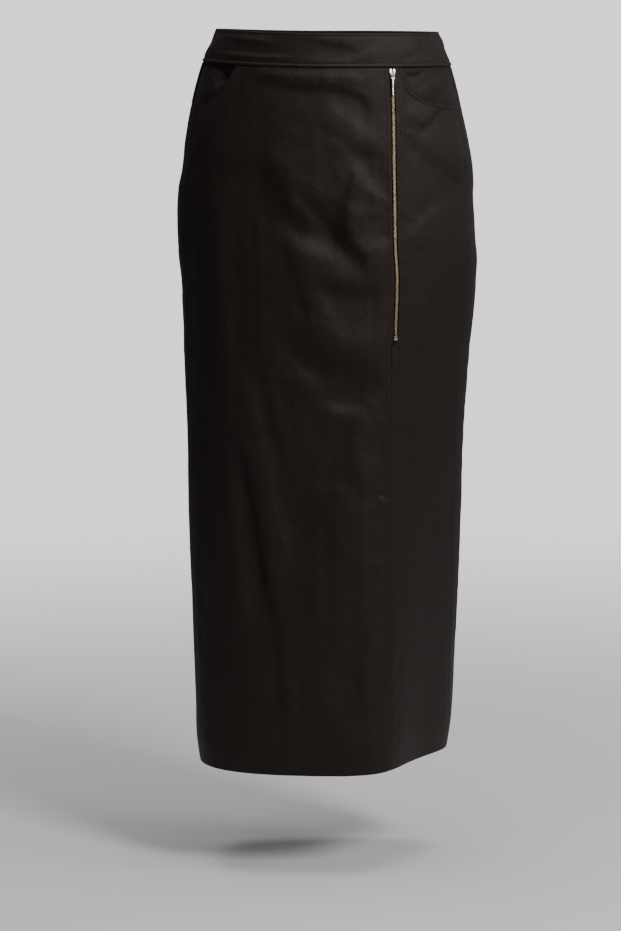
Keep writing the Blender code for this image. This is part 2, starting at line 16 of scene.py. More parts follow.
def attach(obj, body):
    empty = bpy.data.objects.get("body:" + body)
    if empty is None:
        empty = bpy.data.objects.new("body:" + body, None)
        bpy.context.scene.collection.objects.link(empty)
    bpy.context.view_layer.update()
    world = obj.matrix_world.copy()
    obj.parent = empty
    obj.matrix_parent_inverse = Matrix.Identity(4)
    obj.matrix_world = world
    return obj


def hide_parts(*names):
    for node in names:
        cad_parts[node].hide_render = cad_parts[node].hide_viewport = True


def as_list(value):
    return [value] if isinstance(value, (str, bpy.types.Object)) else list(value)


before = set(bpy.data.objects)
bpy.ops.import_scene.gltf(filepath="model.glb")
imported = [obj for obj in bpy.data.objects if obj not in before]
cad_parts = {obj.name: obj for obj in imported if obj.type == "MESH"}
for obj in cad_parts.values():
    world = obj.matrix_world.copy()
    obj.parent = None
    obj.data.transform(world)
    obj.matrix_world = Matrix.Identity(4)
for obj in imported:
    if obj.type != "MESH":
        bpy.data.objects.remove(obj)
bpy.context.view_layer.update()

# ---- Sizes shared with the frame ----

BAND_HEIGHT = 0.043
LENGTH = 0.943
CLOTH = 0.0015
BAND_CLOTH = 0.0026
BAND_PROUD = 0.0006
SEAM_GAP = 0.0003
PLY_GAP = 0.0006
SEAT_GAP = 0.0003
BAND_TOP = BAND_HEIGHT / 2
BAND_SEAM = -BAND_HEIGHT / 2
HEM = BAND_TOP - LENGTH
PANEL_TOP = BAND_SEAM - SEAM_GAP
UNDER = CLOTH + PLY_GAP

Ring = namedtuple("Ring", "height middle half_width front back hem_share rise_right rise_left")
RINGS = [
    Ring(0.0215, 0.0003, 0.1410, 0.0970, 0.0930, 0.00, 0.0040, 0.0000),
    Ring(-0.0215, 0.0000, 0.1582, 0.1035, 0.1040, 0.00, 0.0055, 0.0000),
    Ring(-0.0650, -0.0008, 0.1703, 0.1090, 0.1170, 0.00, 0.0050, 0.0000),
    Ring(-0.1290, -0.0009, 0.1828, 0.1150, 0.1310, 0.00, 0.0040, 0.0000),
    Ring(-0.2000, 0.0000, 0.1905, 0.1190, 0.1400, 0.02, 0.0030, 0.0000),
    Ring(-0.2700, 0.0022, 0.1927, 0.1210, 0.1410, 0.08, 0.0030, 0.0000),
    Ring(-0.4500, 0.0008, 0.1885, 0.1210, 0.1370, 0.32, 0.0030, 0.0010),
    Ring(-0.6500, 0.0000, 0.1900, 0.1200, 0.1320, 0.60, 0.0040, 0.0030),
    Ring(-0.9215, 0.0000, 0.1820, 0.1190, 0.1280, 1.00, 0.0050, 0.0060),
]

HemPoint = namedtuple("HemPoint", "turn_deg x y")
HEM_OUTLINE = [
    HemPoint(-150, -0.0900, 0.1150),
    HemPoint(-118, -0.1480, 0.0700),
    HemPoint(-88, -0.1690, -0.0250),
    HemPoint(-58, -0.1430, -0.0890),
    HemPoint(-30, -0.0830, -0.1120),
    HemPoint(0, 0.0040, -0.1190),
    HemPoint(27, 0.0750, -0.1010),
    HemPoint(52, 0.1180, -0.0340),
    HemPoint(80, 0.1585, 0.0300),
    HemPoint(108, 0.1525, 0.0900),
    HemPoint(145, 0.0850, 0.1230),
    HemPoint(180, 0.0000, 0.1270),
]

SideSeams = namedtuple("SideSeams", "height right_deg left_deg")
SIDE_SEAMS = [
    SideSeams(0.0215, -86, 78),
    SideSeams(-0.0760, -82, 76),
    SideSeams(-0.1500, -78, 69),
    SideSeams(-0.2600, -77, 67),
    SideSeams(-0.5000, -79, 69),
    SideSeams(-0.9215, -86, 80),
]
BACK_SEAM_TURN = math.radians(176)

ZipPoint = namedtuple("ZipPoint", "height x")
ZIP_LINE = [
    ZipPoint(-0.0215, 0.0808),
    ZipPoint(-0.0900, 0.0832),
    ZipPoint(-0.1500, 0.0839),
    ZipPoint(-0.2100, 0.0850),
    ZipPoint(-0.2500, 0.0858),
    ZipPoint(-0.2800, 0.0877),
    ZipPoint(-0.3350, 0.0868),
    ZipPoint(-0.3700, 0.0863),
]
LAP_SEAM_X = 0.0806
LAP_BEGINS, LAP_SETTLES = -0.3640, -0.3710
VENT_TOP = -0.728
UNDERLAP_WIDTH = 0.040

Scoop = namedtuple("Scoop", "band_turn_deg end_height squareness")
SCOOP_RIGHT = Scoop(-47.5, -0.0735, 2.4)
SCOOP_LEFT = Scoop(36.0, -0.0725, 3.0)
POCKET_DEPTH = 0.165
SHARED_ROWS = -0.20  # the rows follow the scoops above this height

SLIT_HALF = 0.0031
CHAIN_THICKNESS = 0.0022
ZIP_TOP, ZIP_BOTTOM = -0.0225, -0.3672
STOP_WIDTH, STOP_HEIGHT, STOP_THICKNESS = 0.0052, 0.0054, 0.0026
SLIDER_LENGTH, PLATE_THICKNESS, BAR_LIFT = 0.0135, 0.0014, 0.0010

# ---- Sizes of what is added here ----

EDGE_ROUND = 0.0004  # how far a rounded cloth edge stands out past its outermost grid line
WIDE, NARROW, REAR_WIDTH, BEARER_WIDTH = 0.262, 0.108, 0.21, 0.095  # for the count of columns
BEARER_TOP = BAND_SEAM + 0.0035
ALLOWANCE_CLOTH = 0.0008
ALLOWANCE_UP, ALLOWANCE_DOWN, ALLOWANCE_IN = 0.006, 0.010, 0.0048  # inside the waist seam
ALLOWANCE_COLUMNS, ALLOWANCE_PART = 430, 0.035  # it parts by this turn either side of the back seam
STRIP_HALF, STRIP_TOP = 0.012, -0.2010  # the long seams' allowances, and where the back one begins
HEM_DEPTH = 0.040  # the turned-up hem
HEM_PLY = 0.0011
GRID = 0.0033  # spacing of the cloth's grid where it is smooth
FINE = 0.0009  # and beside edges and seams
FINE_REACH = 0.0125
STEEP_COLUMNS = 14  # more columns where a pocket's mouth is steep
LEAST_COLUMN = 0.0005
STEP_TURN, STEP_UP = 1e-3, 1e-3  # the steps over which slopes are taken

ZIP_STITCH_RIGHT, ZIP_STITCH_LEFT = 0.0098, 0.0087  # topstitching from the zip's centre line
LAP_STITCH = 0.0060  # topstitching from the lapped seam
SCOOP_STITCH = 0.0042
BAND_STITCH = 0.0048  # above the band's seam
BAND_EDGE_STITCH = 0.0040  # below the band's top edge
BOX_TOP, BOX_BOTTOM = -0.403, -0.412  # the two bars of stitching that close the zip's end
STITCH_PITCH, STITCH_LENGTH, THREAD = 0.0028, 0.0021, 0.00026  # the last is the thread's radius
STITCH_CLEAR, STITCH_CLEAR_TURN = 0.001, 0.004  # a line of stitches stops this far from an edge

# Back darts: length, distance from the centre back seam, and how far they lean towards it as they go down
DART_LENGTH, DART_OUT, DART_LEAN = 0.115, 0.062, 0.10

# Folds, by the side of the skirt. A path is in x, z on the front and the back, and in y, z on the left
# and the right. A step rises by twice its height across its path, towards the right and the top of
# that side as drawn. A ridge stands up, or down where its height is below 0.
Step = namedtuple("Step", "width height path")
Ridge = namedtuple("Ridge", "width height path")
FOLDS = {
    "front": [
        # under the waistband
        Ridge(0.009, 0.0010, [(-0.110, -0.026), (-0.010, -0.032), (0.074, -0.033)]),
        Step(0.006, 0.0017, [(-0.106, -0.024), (-0.072, -0.037), (-0.040, -0.0455), (0.016, -0.048),
            (0.043, -0.060), (0.068, -0.088)]),
        Step(0.009, -0.0016, [(-0.008, -0.059), (0.028, -0.082), (0.066, -0.117)]),
        Step(0.007, 0.0008, [(0.018, -0.110), (0.053, -0.127), (0.084, -0.138)]),
        # the drape from the waist to the zip
        Step(0.008, -0.0024, [(0.022, -0.128), (0.047, -0.158), (0.083, -0.194)]),
        Step(0.0045, 0.0017, [(0.037, -0.134), (0.025, -0.177), (0.017, -0.212)]),
        Step(0.0100, 0.0050, [(0.019, -0.180), (0.018, -0.217), (0.029, -0.244), (0.055, -0.268)]),
        Step(0.009, -0.0022, [(0.030, -0.252), (0.060, -0.242), (0.095, -0.238)]),
        Step(0.012, -0.0036, [(-0.064, -0.198), (-0.047, -0.223), (-0.022, -0.241), (0.006, -0.251),
            (0.036, -0.254)]),
        Step(0.017, 0.0046, [(-0.084, -0.116), (-0.068, -0.166), (-0.048, -0.200), (-0.018, -0.244)]),
        Step(0.005, -0.0012, [(-0.049, -0.173), (-0.030, -0.194), (-0.007, -0.220)]),
        Step(0.006, 0.0019, [(-0.021, -0.181), (0.003, -0.2155), (0.024, -0.244)]),
        Step(0.005, 0.0012, [(-0.050, -0.234), (-0.0415, -0.276), (-0.028, -0.317), (-0.018, -0.336)]),
        Step(0.012, 0.0023, [(-0.016, -0.2905), (0.022, -0.2965), (0.080, -0.305)]),
        Step(0.009, -0.0014, [(-0.014, -0.290), (0.007, -0.3295), (0.024, -0.372)]),
        Step(0.018, 0.0050, [(-0.054, -0.344), (-0.012, -0.380), (0.028, -0.397), (0.082, -0.419)]),
        Step(0.008, -0.0014, [(-0.062, -0.364), (-0.034, -0.3955), (0.000, -0.424)]),
        Step(0.0080, -0.0018, [(-0.006, -0.440), (0.026, -0.4485), (0.058, -0.446)]),
        Step(0.007, -0.0008, [(0.044, -0.442), (0.064, -0.434), (0.079, -0.424)]),
        # faint upright folds
        Ridge(0.0050, 0.0011, [(-0.086, -0.165), (-0.085, -0.270), (-0.080, -0.390)]),
        Ridge(0.006, 0.0008, [(-0.125, -0.050), (-0.127, -0.120), (-0.126, -0.215)]),
        Step(0.017, 0.0056, [(-0.148, -0.070), (-0.150, -0.250), (-0.145, -0.420), (-0.142, -0.680)]),
        Step(0.012, -0.0020, [(-0.128, -0.140), (-0.126, -0.280), (-0.112, -0.420)]),
        Step(0.004, 0.0008, [(-0.082, -0.375), (-0.072, -0.444), (-0.052, -0.535)]),
        # the long fold down to the hem, with its neighbours
        Step(0.0060, 0.0037, [(-0.116, -0.465), (-0.101, -0.530), (-0.088, -0.602), (-0.079, -0.665),
            (-0.071, -0.725)]),
        Step(0.0045, 0.0014, [(-0.084, -0.630), (-0.063, -0.740), (-0.0565, -0.815), (-0.053, -0.915)]),
        Step(0.012, -0.0028, [(-0.121, -0.492), (-0.106, -0.632), (-0.096, -0.776)]),
        Step(0.010, -0.0020, [(-0.110, -0.370), (-0.084, -0.470), (-0.064, -0.560), (-0.035, -0.690)]),
        Step(0.009, 0.0013, [(0.022, -0.450), (0.028, -0.495), (0.026, -0.560)]),
        Step(0.012, -0.0012, [(0.040, -0.462), (0.052, -0.530), (0.044, -0.620)]),
        Step(0.013, 0.0012, [(-0.030, -0.545), (0.000, -0.600), (0.010, -0.680)]),
        Step(0.009, 0.0015, [(0.056, -0.720), (0.045, -0.775), (0.042, -0.850)]),
        Step(0.012, -0.0012, [(0.008, -0.770), (0.012, -0.830), (0.016, -0.890)]),
        Step(0.009, -0.0011, [(0.066, -0.762), (0.066, -0.850)]),
        # the narrow panel
        Step(0.007, 0.0009, [(0.094, -0.083), (0.132, -0.098)]),
        Step(0.010, 0.0016, [(0.096, -0.100), (0.140, -0.140), (0.184, -0.181)]),
        Step(0.006, 0.0009, [(0.090, -0.240), (0.120, -0.212), (0.150, -0.184)]),
        Step(0.006, -0.0008, [(0.091, -0.068), (0.120, -0.079)]),
        Step(0.0045, -0.0011, [(0.110, -0.106), (0.130, -0.086), (0.150, -0.068)]),
        Step(0.0035, -0.0013, [(0.1635, -0.070), (0.1660, -0.120), (0.1720, -0.175)]),
        Ridge(0.010, 0.0006, [(0.118, -0.640), (0.116, -0.740), (0.112, -0.890)]),
    ],
    "left": [
        Step(0.016, 0.0018, [(-0.070, -0.120), (-0.020, -0.165), (0.050, -0.185)]),
        Step(0.014, -0.0013, [(-0.060, -0.220), (0.000, -0.250), (0.060, -0.245)]),
        Step(0.010, 0.0018, [(0.030, -0.330), (0.040, -0.450), (0.036, -0.600)]),
        Step(0.010, -0.0016, [(0.078, -0.420), (0.088, -0.560), (0.086, -0.760)]),
        Ridge(0.016, 0.0014, [(0.030, -0.640), (0.046, -0.760), (0.050, -0.900)]),
    ],
    "right": [
        Step(0.016, -0.0018, [(-0.070, -0.130), (-0.015, -0.160), (0.055, -0.170)]),
        Step(0.015, 0.0014, [(-0.050, -0.240), (0.000, -0.280), (0.064, -0.300)]),
        Step(0.018, -0.0020, [(0.000, -0.360), (-0.016, -0.480), (-0.012, -0.640)]),
        Step(0.014, 0.0016, [(0.046, -0.430), (0.050, -0.560), (0.060, -0.720)]),
        Ridge(0.016, -0.0014, [(-0.030, -0.640), (-0.020, -0.760), (-0.024, -0.890)]),
    ],
    "back": [
        Ridge(0.010, 0.0013, [(-0.110, -0.036), (-0.010, -0.040), (0.112, -0.035)]),
        Step(0.013, 0.0014, [(-0.112, -0.062), (-0.050, -0.058), (0.030, -0.060)]),
        Step(0.015, 0.0016, [(-0.120, -0.210), (-0.070, -0.236), (-0.012, -0.246)]),
        Step(0.015, -0.0016, [(0.012, -0.240), (0.070, -0.238), (0.124, -0.206)]),
        Step(0.014, -0.0018, [(-0.100, -0.262), (-0.052, -0.292), (-0.004, -0.296)]),
        Step(0.014, 0.0015, [(0.006, -0.290), (0.060, -0.300), (0.110, -0.268)]),
        Step(0.016, 0.0014, [(-0.080, -0.330), (-0.020, -0.366), (0.050, -0.356)]),
        Step(0.018, 0.0024, [(-0.070, -0.420), (-0.058, -0.560), (-0.064, -0.760)]),
        Step(0.016, -0.0022, [(0.040, -0.400), (0.062, -0.540), (0.060, -0.720)]),
        Step(0.013, -0.0014, [(-0.030, -0.470), (-0.024, -0.600), (-0.030, -0.700)]),
        Step(0.014, 0.0015, [(0.096, -0.420), (0.104, -0.560), (0.096, -0.680)]),
        Ridge(0.018, 0.0016, [(0.010, -0.660), (0.016, -0.780), (0.014, -0.905)]),
        Ridge(0.020, -0.0015, [(-0.100, -0.640), (-0.104, -0.760), (-0.100, -0.900)]),
    ],
}
POCKET_FOLDS = {
    "front": [
        Step(0.0026, 0.0014, [(0.098, -0.0275), (0.106, -0.0295), (0.122, -0.0280)]),
        Step(0.0030, -0.0007, [(0.104, -0.036), (0.116, -0.033), (0.128, -0.027)]),
        Step(0.0036, 0.0006, [(0.112, -0.055), (0.124, -0.045), (0.138, -0.030)]),
        Step(0.0050, -0.0007, [(0.122, -0.064), (0.140, -0.052), (0.152, -0.034)]),
        Step(0.0050, 0.0024, [(-0.121, -0.018), (-0.127, -0.032), (-0.140, -0.047)]),
        Step(0.0035, -0.0018, [(-0.134, -0.026), (-0.138, -0.034), (-0.147, -0.043)]),
        Step(0.0040, 0.0006, [(-0.142, -0.030), (-0.152, -0.046), (-0.162, -0.052)]),
    ],
}
BAND_FOLDS = {
    "front": [
        Step(0.0050, 0.0011, [(-0.134, 0.017), (-0.100, 0.010), (-0.062, 0.004)]),
        Step(0.0032, -0.0009, [(-0.146, -0.0025), (-0.095, -0.0055), (-0.036, -0.0080)]),
        Step(0.0040, -0.0007, [(0.022, -0.011), (0.048, -0.002), (0.066, 0.008)]),
        Step(0.0060, 0.0008, [(-0.020, 0.010), (0.020, 0.004), (0.046, -0.006)]),
        Step(0.0045, 0.0006, [(0.090, -0.010), (0.108, -0.002), (0.120, 0.010)]),
    ],
    "left": [
        Step(0.0060, 0.0010, [(-0.040, -0.008), (0.000, 0.004), (0.040, 0.010)]),
    ],
    "right": [
        Step(0.0060, -0.0010, [(-0.040, 0.010), (0.000, 0.000), (0.040, -0.008)]),
    ],
    "back": [
        Step(0.0060, 0.0010, [(-0.090, -0.006), (-0.050, 0.004), (-0.020, 0.006)]),
        Step(0.0060, -0.0009, [(0.026, 0.004), (0.060, 0.000), (0.100, -0.006)]),
    ],
}
FOLD_HOLD = 0.020  # the folds fade over this distance from the zip and the lapped seam
FOLD_SAMPLES = 22
FOLD_REACH = 8  # a fold ends this many of its widths from its path
STEP_STEEPNESS, STEP_SPREAD = 1.2, 4  # how sharp a step is, and over how many of its widths it dies away
FOLD_TAPER = 0.28  # a fold fades over this share of its length at either end
FOLD_EDGE = 0.35  # and where its side faces the cloth by less than this, from 0 to 1

# Puckers and knocks on the front: where, how wide and tall, and how high. The middle of each slopes
# up towards the right and the top, or down where its height is below 0.
Spot = namedtuple("Spot", "x z wide tall height")
SPOTS = [
    Spot(0.0710, -0.5640, 0.0055, 0.0045, -0.0022),
    Spot(0.0715, -0.7240, 0.0055, 0.0042, -0.0013),
    Spot(0.0690, -0.4600, 0.0060, 0.0030, -0.0004),
    Spot(0.0700, -0.4750, 0.0070, 0.0028, 0.0005),
    Spot(0.0900, -0.4850, 0.0080, 0.0040, -0.0005),
    Spot(0.0720, -0.2350, 0.0060, 0.0040, -0.0005),
    Spot(0.0720, -0.1900, 0.0060, 0.0040, 0.0005),
    Spot(0.0970, -0.1050, 0.0080, 0.0035, 0.0006),
    Spot(0.0980, -0.1270, 0.0080, 0.0035, -0.0005),
    Spot(0.0970, -0.2250, 0.0080, 0.0040, 0.0005),
    Spot(-0.1690, -0.0690, 0.0060, 0.0030, 0.0012),
]


# ---- The form, as in the frame ----


def spline_slopes(knots, values, closed):
    """The slope at each knot of the smoothest piecewise cubic through the values."""
    count = len(knots)
    steps = np.diff(knots)
    rises = np.diff(values) / steps
    matrix = np.zeros((count, count))
    target = np.zeros(count)
    for i in range(1, count - 1):
        matrix[i, i - 1 : i + 2] = steps[i], 2 * (steps[i - 1] + steps[i]), steps[i - 1]
        target[i] = 3 * (steps[i] * rises[i - 1] + steps[i - 1] * rises[i])
    if closed:  # the last knot is the first one again
        matrix[0, [0, -1]] = 1, -1
        matrix[-1, [0, 1, -2, -1]] = 2 * steps[-1], steps[-1], steps[0], 2 * steps[0]
        target[-1] = 3 * (steps[0] * rises[-1] + steps[-1] * rises[0])
    else:
        matrix[0, :2] = 2, 1
        matrix[-1, -2:] = 1, 2
        target[[0, -1]] = 3 * rises[0], 3 * rises[-1]
    return np.linalg.solve(matrix, target)


def smooth_curve(knots, values, closed=False):
    """A function that reads the smooth curve through these knots, in rising order."""
    knots = np.asarray(knots, float)
    values = np.asarray(values, float)
    slopes = spline_slopes(knots, values, closed)

    def read(at):
        at = np.clip(at, knots[0], knots[-1])
        i = np.clip(np.searchsorted(knots, at) - 1, 0, len(knots) - 2)
        step = knots[i + 1] - knots[i]
        t = (at - knots[i]) / step
        return (
            values[i] * (1 + 2 * t) * (1 - t) ** 2
            + slopes[i] * step * t * (1 - t) ** 2
            + values[i + 1] * t * t * (3 - 2 * t)
            + slopes[i + 1] * step * t * t * (t - 1)
        )

    return read


def by_height(rows, column):
    rows = sorted(rows, key=lambda row: row.height)
    return smooth_curve([row.height for row in rows], [getattr(row, column) for row in rows])


def smooth_step(start, end, at):
    t = np.clip((at - start) / (end - start), 0, 1)
    return t * t * (3 - 2 * t)


def bump(at, middle, width):
    return np.exp(-(((at - middle) / width) ** 2))


RING_CURVES = {column: by_height(RINGS, column) for column in Ring._fields[1:]}
RIGHT_SEAM_DEG = by_height(SIDE_SEAMS, "right_deg")
LEFT_SEAM_DEG = by_height(SIDE_SEAMS, "left_deg")
ZIP_X = by_height(ZIP_LINE, "x")

HEM_TURNS = [math.radians(p.turn_deg) for p in HEM_OUTLINE]
HEM_TURNS = [HEM_TURNS[-1] - 2 * math.pi, *HEM_TURNS]
HEM_X = smooth_curve(HEM_TURNS, [HEM_OUTLINE[-1].x, *(p.x for p in HEM_OUTLINE)], closed=True)
HEM_Y = smooth_curve(HEM_TURNS, [HEM_OUTLINE[-1].y, *(p.y for p in HEM_OUTLINE)], closed=True)


def bare_surface(turn, height):
    """The points of the surface with no folds, as an array whose last axis is x, y, z."""
    turn, height = np.broadcast_arrays(np.asarray(turn, float), np.asarray(height, float))
    ring = {column: curve(height) for column, curve in RING_CURVES.items()}
    sine, cosine = np.sin(turn), np.cos(turn)
    depth = np.where(cosine > 0, ring["front"], ring["back"])
    share = ring["hem_share"]
    turn = (turn + math.pi) % (2 * math.pi) - math.pi
    x = (1 - share) * (ring["middle"] + ring["half_width"] * sine) + share * HEM_X(turn)
    y = (share - 1) * depth * cosine + share * HEM_Y(turn)
    rise = ring["rise_right"] * np.maximum(-sine, 0) ** 2
    rise = rise + ring["rise_left"] * np.maximum(sine, 0) ** 2
    return np.stack([x, y, height + rise], axis=-1)


def unit(vectors):
    return vectors / np.linalg.norm(vectors, axis=-1, keepdims=True)


def along_cloth(turn, height):
    """The short step between two points of the surface, from the right towards the left."""
    return bare_surface(turn + STEP_TURN, height) - bare_surface(turn - STEP_TURN, height)


def normal_at(turn, height):
    """The outward normals of the surface with no folds."""
    upward = bare_surface(turn, height + STEP_UP) - bare_surface(turn, height - STEP_UP)
    return unit(np.cross(along_cloth(turn, height), upward))


def metres_per_turn(turn, height):
    return np.linalg.norm(along_cloth(turn, height), axis=-1) / (2 * STEP_TURN)


def shifted(turn, height, distance):
    """The turn that lies this far along the cloth towards the wearer's left."""
    return turn + distance / metres_per_turn(turn, height)


def beside(seam, distance):
    """The line that runs this far to the left of a seam."""
    return lambda height: shifted(seam(height), height, distance)


def turn_at_x(x, height):
    """The turn on the front at which the surface has this x."""
    low = np.zeros(np.shape(height))
    high = np.full(np.shape(height), math.radians(60))
    for _ in range(30):
        middle = (low + high) / 2
        below = bare_surface(middle, height)[..., 0] < x
        low, high = np.where(below, middle, low), np.where(below, high, middle)
    return (low + high) / 2


def right_seam(height):
    return np.radians(RIGHT_SEAM_DEG(height))


def left_seam(height):
    return np.radians(LEFT_SEAM_DEG(height))


def upright_line(turn):
    """A line that has the same turn at every height."""
    return lambda height: np.full(np.shape(height), turn)


back_seam = upright_line(BACK_SEAM_TURN)


def right_seam_round(height):
    return right_seam(height) + 2 * math.pi


def zip_turn(height):
    return turn_at_x(ZIP_X(height), height)


def lap_turn(height):
    return turn_at_x(np.full(np.shape(height), LAP_SEAM_X), height)


def front_line(height):
    """The zip's centre line, or the lapped seam below it."""
    share = smooth_step(LAP_BEGINS, LAP_SETTLES, height)
    return zip_turn(height) * (1 - share) + lap_turn(height) * share


def slit_line(height, side):
    """The line that a front panel's edge follows at the zip and below it. side is -1 for the right."""
    lap = shifted(lap_turn(height), height, side * SEAM_GAP / 2)
    slit = shifted(zip_turn(height), height, side * SLIT_HALF)
    return slit + (lap - slit) * smooth_step(LAP_BEGINS, LAP_SETTLES, height)


def slit_right(height):
    return slit_line(height, -1)


def slit_left(height):
    return slit_line(height, 1)


# ---- Folds and fine unevenness ----


def soft_noise(u, v, seed):
    """Smooth noise from -1 to 1, with cells one unit wide."""
    table = np.random.default_rng(seed).uniform(-1, 1, (64, 64))
    column, row = np.floor(u).astype(int), np.floor(v).astype(int)
    across, down = smooth_step(0, 1, u - column), smooth_step(0, 1, v - row)
    column, row = column % 64, row % 64
    right, below = (column + 1) % 64, (row + 1) % 64
    top = table[column, row] * (1 - across) + table[right, row] * across
    bottom = table[column, below] * (1 - across) + table[right, below] * across
    return top * (1 - down) + bottom * down


def path_points(path):
    """The path's points, read evenly from the smooth curve through them."""
    knots = np.concatenate([[0], np.cumsum(np.linalg.norm(np.diff(path, axis=0), axis=1))])
    at = np.linspace(0, knots[-1], FOLD_SAMPLES)
    return np.stack([smooth_curve(knots, path[:, k])(at) for k in (0, 1)], axis=-1)


def beside_path(points, path):
    """How far along the path each point lies, from 0 to 1, and how far beside it.

    The distance is above 0 towards the right and the top.
    """
    samples = path_points(path)
    starts, legs = samples[:-1], np.diff(samples, axis=0)
    lengths = np.linalg.norm(legs, axis=1)
    units = legs / lengths[:, None]
    offset = points[:, None] - starts
    share = np.clip((offset * units).sum(-1) / lengths, 0, 1)
    away = np.linalg.norm(offset - share[..., None] * legs, axis=-1)
    near = away.argmin(axis=1)
    rows = np.arange(len(points))
    along = (near + share[rows, near]) / len(legs)
    side = units[near, 0] * offset[rows, near, 1] - units[near, 1] * offset[rows, near, 0]
    chord = samples[-1] - samples[0]
    facing = 1 if 0.6 * chord[0] > 0.8 * chord[1] else -1
    return along, away[rows, near] * np.sign(side) * facing


SIDES = {  # the coordinate across the side, and how far the side faces each turn
    "front": (0, np.cos, 1),
    "back": (0, np.cos, -1),
    "left": (1, np.sin, 1),
    "right": (1, np.sin, -1),
}


def fold_relief(turn, height, folds):
    """How far the folds move the cloth out, or in where it is below 0."""
    shape = turn.shape
    turn, height = turn.ravel(), height.ravel()
    points = bare_surface(turn, height)
    total = np.zeros(len(turn))
    for side, rows in folds.items():
        axis, wave, sign = SIDES[side]
        faces = sign * wave(turn)
        plane = points[:, [axis, 2]]
        for fold in rows:
            path = np.array(fold.path)
            reach = FOLD_REACH * fold.width
            inside = (plane > path.min(0) - reach) & (plane < path.max(0) + reach)
            near = np.flatnonzero(inside.all(axis=1) & (faces > 0))
            if not len(near):
                continue
            along, away = beside_path(plane[near], path)
            away = away / fold.width
            profile = np.exp(-(away**2))
            if isinstance(fold, Step):
                profile = np.tanh(STEP_STEEPNESS * away) * np.exp(-((away / STEP_SPREAD) ** 2))
            taper = smooth_step(0, FOLD_TAPER, along) * smooth_step(0, FOLD_TAPER, 1 - along)
            total[near] += fold.height * taper * profile * smooth_step(0, FOLD_EDGE, faces[near])
    return total.reshape(shape)


# Layers of soft noise: how high, whether slanted, the cells' width and height, a shift and a seed
Layer = namedtuple("Layer", "height slanted wide tall shift seed")
CREASES = [
    Layer(0.00034, True, 0.0070, 0.0080, 0, 3),
    Layer(0.00055, False, 0.0160, 0.0180, 7, 4),
    Layer(0.00060, True, 0.0340, 0.0300, 2, 9),
]
STREAKS = [
    Layer(0.00022, False, 0.0055, 0.10, 3, 5),
    Layer(0.00045, False, 0.0140, 0.17, 5, 7),
]
MEAN_RADIUS = 0.17


def layered(layers, girth, slant, up):
    total = 0
    for row in layers:
        across = slant if row.slanted else girth
        total = total + row.height * soft_noise(across / row.wide + row.shift, up / row.tall, row.seed)
    return total


def grain_relief(turn, height):
    """The cloth's own unevenness: small soft creases, upright streaks, and wide waves near the hem."""
    girth = turn * MEAN_RADIUS
    slant = girth + 0.35 * height + 0.005 * soft_noise(girth / 0.024, height / 0.031, 12)
    drop = height + 0.006 * soft_noise(girth / 0.030 + 4, height / 0.022, 13)
    creases = layered(CREASES, girth, slant, drop)
    creases = creases * (0.8 + 0.5 * soft_noise(girth / 0.06, height / 0.08, 8))
    arc = metres_per_turn(turn, height)
    near = [np.abs(turn - seam(height)) * arc for seam in (right_seam, left_seam, right_seam_round)]
    near = np.min(near, axis=0)
    creases = creases * smooth_step(0.002, 0.030, near)
    streaks = layered(STREAKS, girth, slant, height)
    waves = 0.0014 * soft_noise(girth / 0.06, height / 0.34, 6)
    streaks = streaks * (0.3 + 0.7 * smooth_step(0.004, 0.034, near))
    calm = 1 - 0.85 * bump(turn, 1.05, 0.45)
    return (creases + streaks) * calm + waves * smooth_step(-0.10, -0.70, height)


def spot_relief(turn, height):
    points = bare_surface(turn, height)
    total = np.zeros(turn.shape)
    for spot in SPOTS:
        across, up = (points[..., 0] - spot.x) / spot.wide, (points[..., 2] - spot.z) / spot.tall
        total = total + spot.height * (across + up) * np.exp(-(across**2) - up**2)
    return total * (np.cos(turn) > 0)


def from_front_line(turn, height):
    return (turn - front_line(height)) * metres_per_turn(turn, height)


def body_relief(turn, height):
    """The folds and the unevenness, held down beside the zip, the lapped seam and the band."""
    held = smooth_step(0, FOLD_HOLD, np.abs(from_front_line(turn, height)))
    held = np.where(np.cos(turn) > 0, held, 1)
    folds = fold_relief(turn, height, FOLDS) * held
    fine = grain_relief(turn, height) * (0.25 + 0.75 * held)
    below_band = smooth_step(0, 0.012, BAND_SEAM - height)
    return (folds + fine) * (0.3 + 0.7 * below_band) + spot_relief(turn, height)


# ---- Seams and edges, each by the distance from it ----


Bump = namedtuple("Bump", "height middle width")
PRESSED_SEAM = [  # pinched at the stitches, raised over its allowance
    Bump(-0.00070, 0.0000, 0.0016),
    Bump(0.00045, 0.0060, 0.0038),
]
HEM_EDGE = [  # a soft rounded end, and the faint line of the blind stitches
    Bump(0.00030, 0.0040, 0.0040),
    Bump(-0.00016, HEM_DEPTH, 0.0016),
]
BAND_FOOT = [  # a raised cord of cloth over the seam allowance, and the stitches above it
    Bump(0.00055, BAND_STITCH * 0.5, BAND_STITCH * 0.36),
    Bump(-0.00050, BAND_STITCH, 0.0010),
]
BAND_RIM = [Bump(-0.00030, BAND_EDGE_STITCH, 0.0009)]
TUCK = [Bump(-0.00030, 0.0000, 0.0022)]  # a panel just below the band goes in under it


def sum_bumps(rows, distance):
    return sum(row.height * bump(distance, row.middle, row.width) for row in rows)


def stitched_edge(distance, stitch, puff=0.00045):
    """A folded edge with topstitching: puffed up to the stitches, which sink in."""
    return puff * bump(distance, stitch * 0.45, stitch * 0.42) - 0.00034 * bump(distance, stitch, 0.0010)


def puckers(distance, stitch, height, seed):
    """Small ripples across a line of topstitching."""
    ripple = soft_noise(height / 0.0085, distance / 0.05, seed)
    ripple = ripple + 0.6 * soft_noise(height / 0.0042 + 9, distance / 0.05, seed + 1)
    return 0.00022 * ripple * bump(distance, stitch, 0.0065)


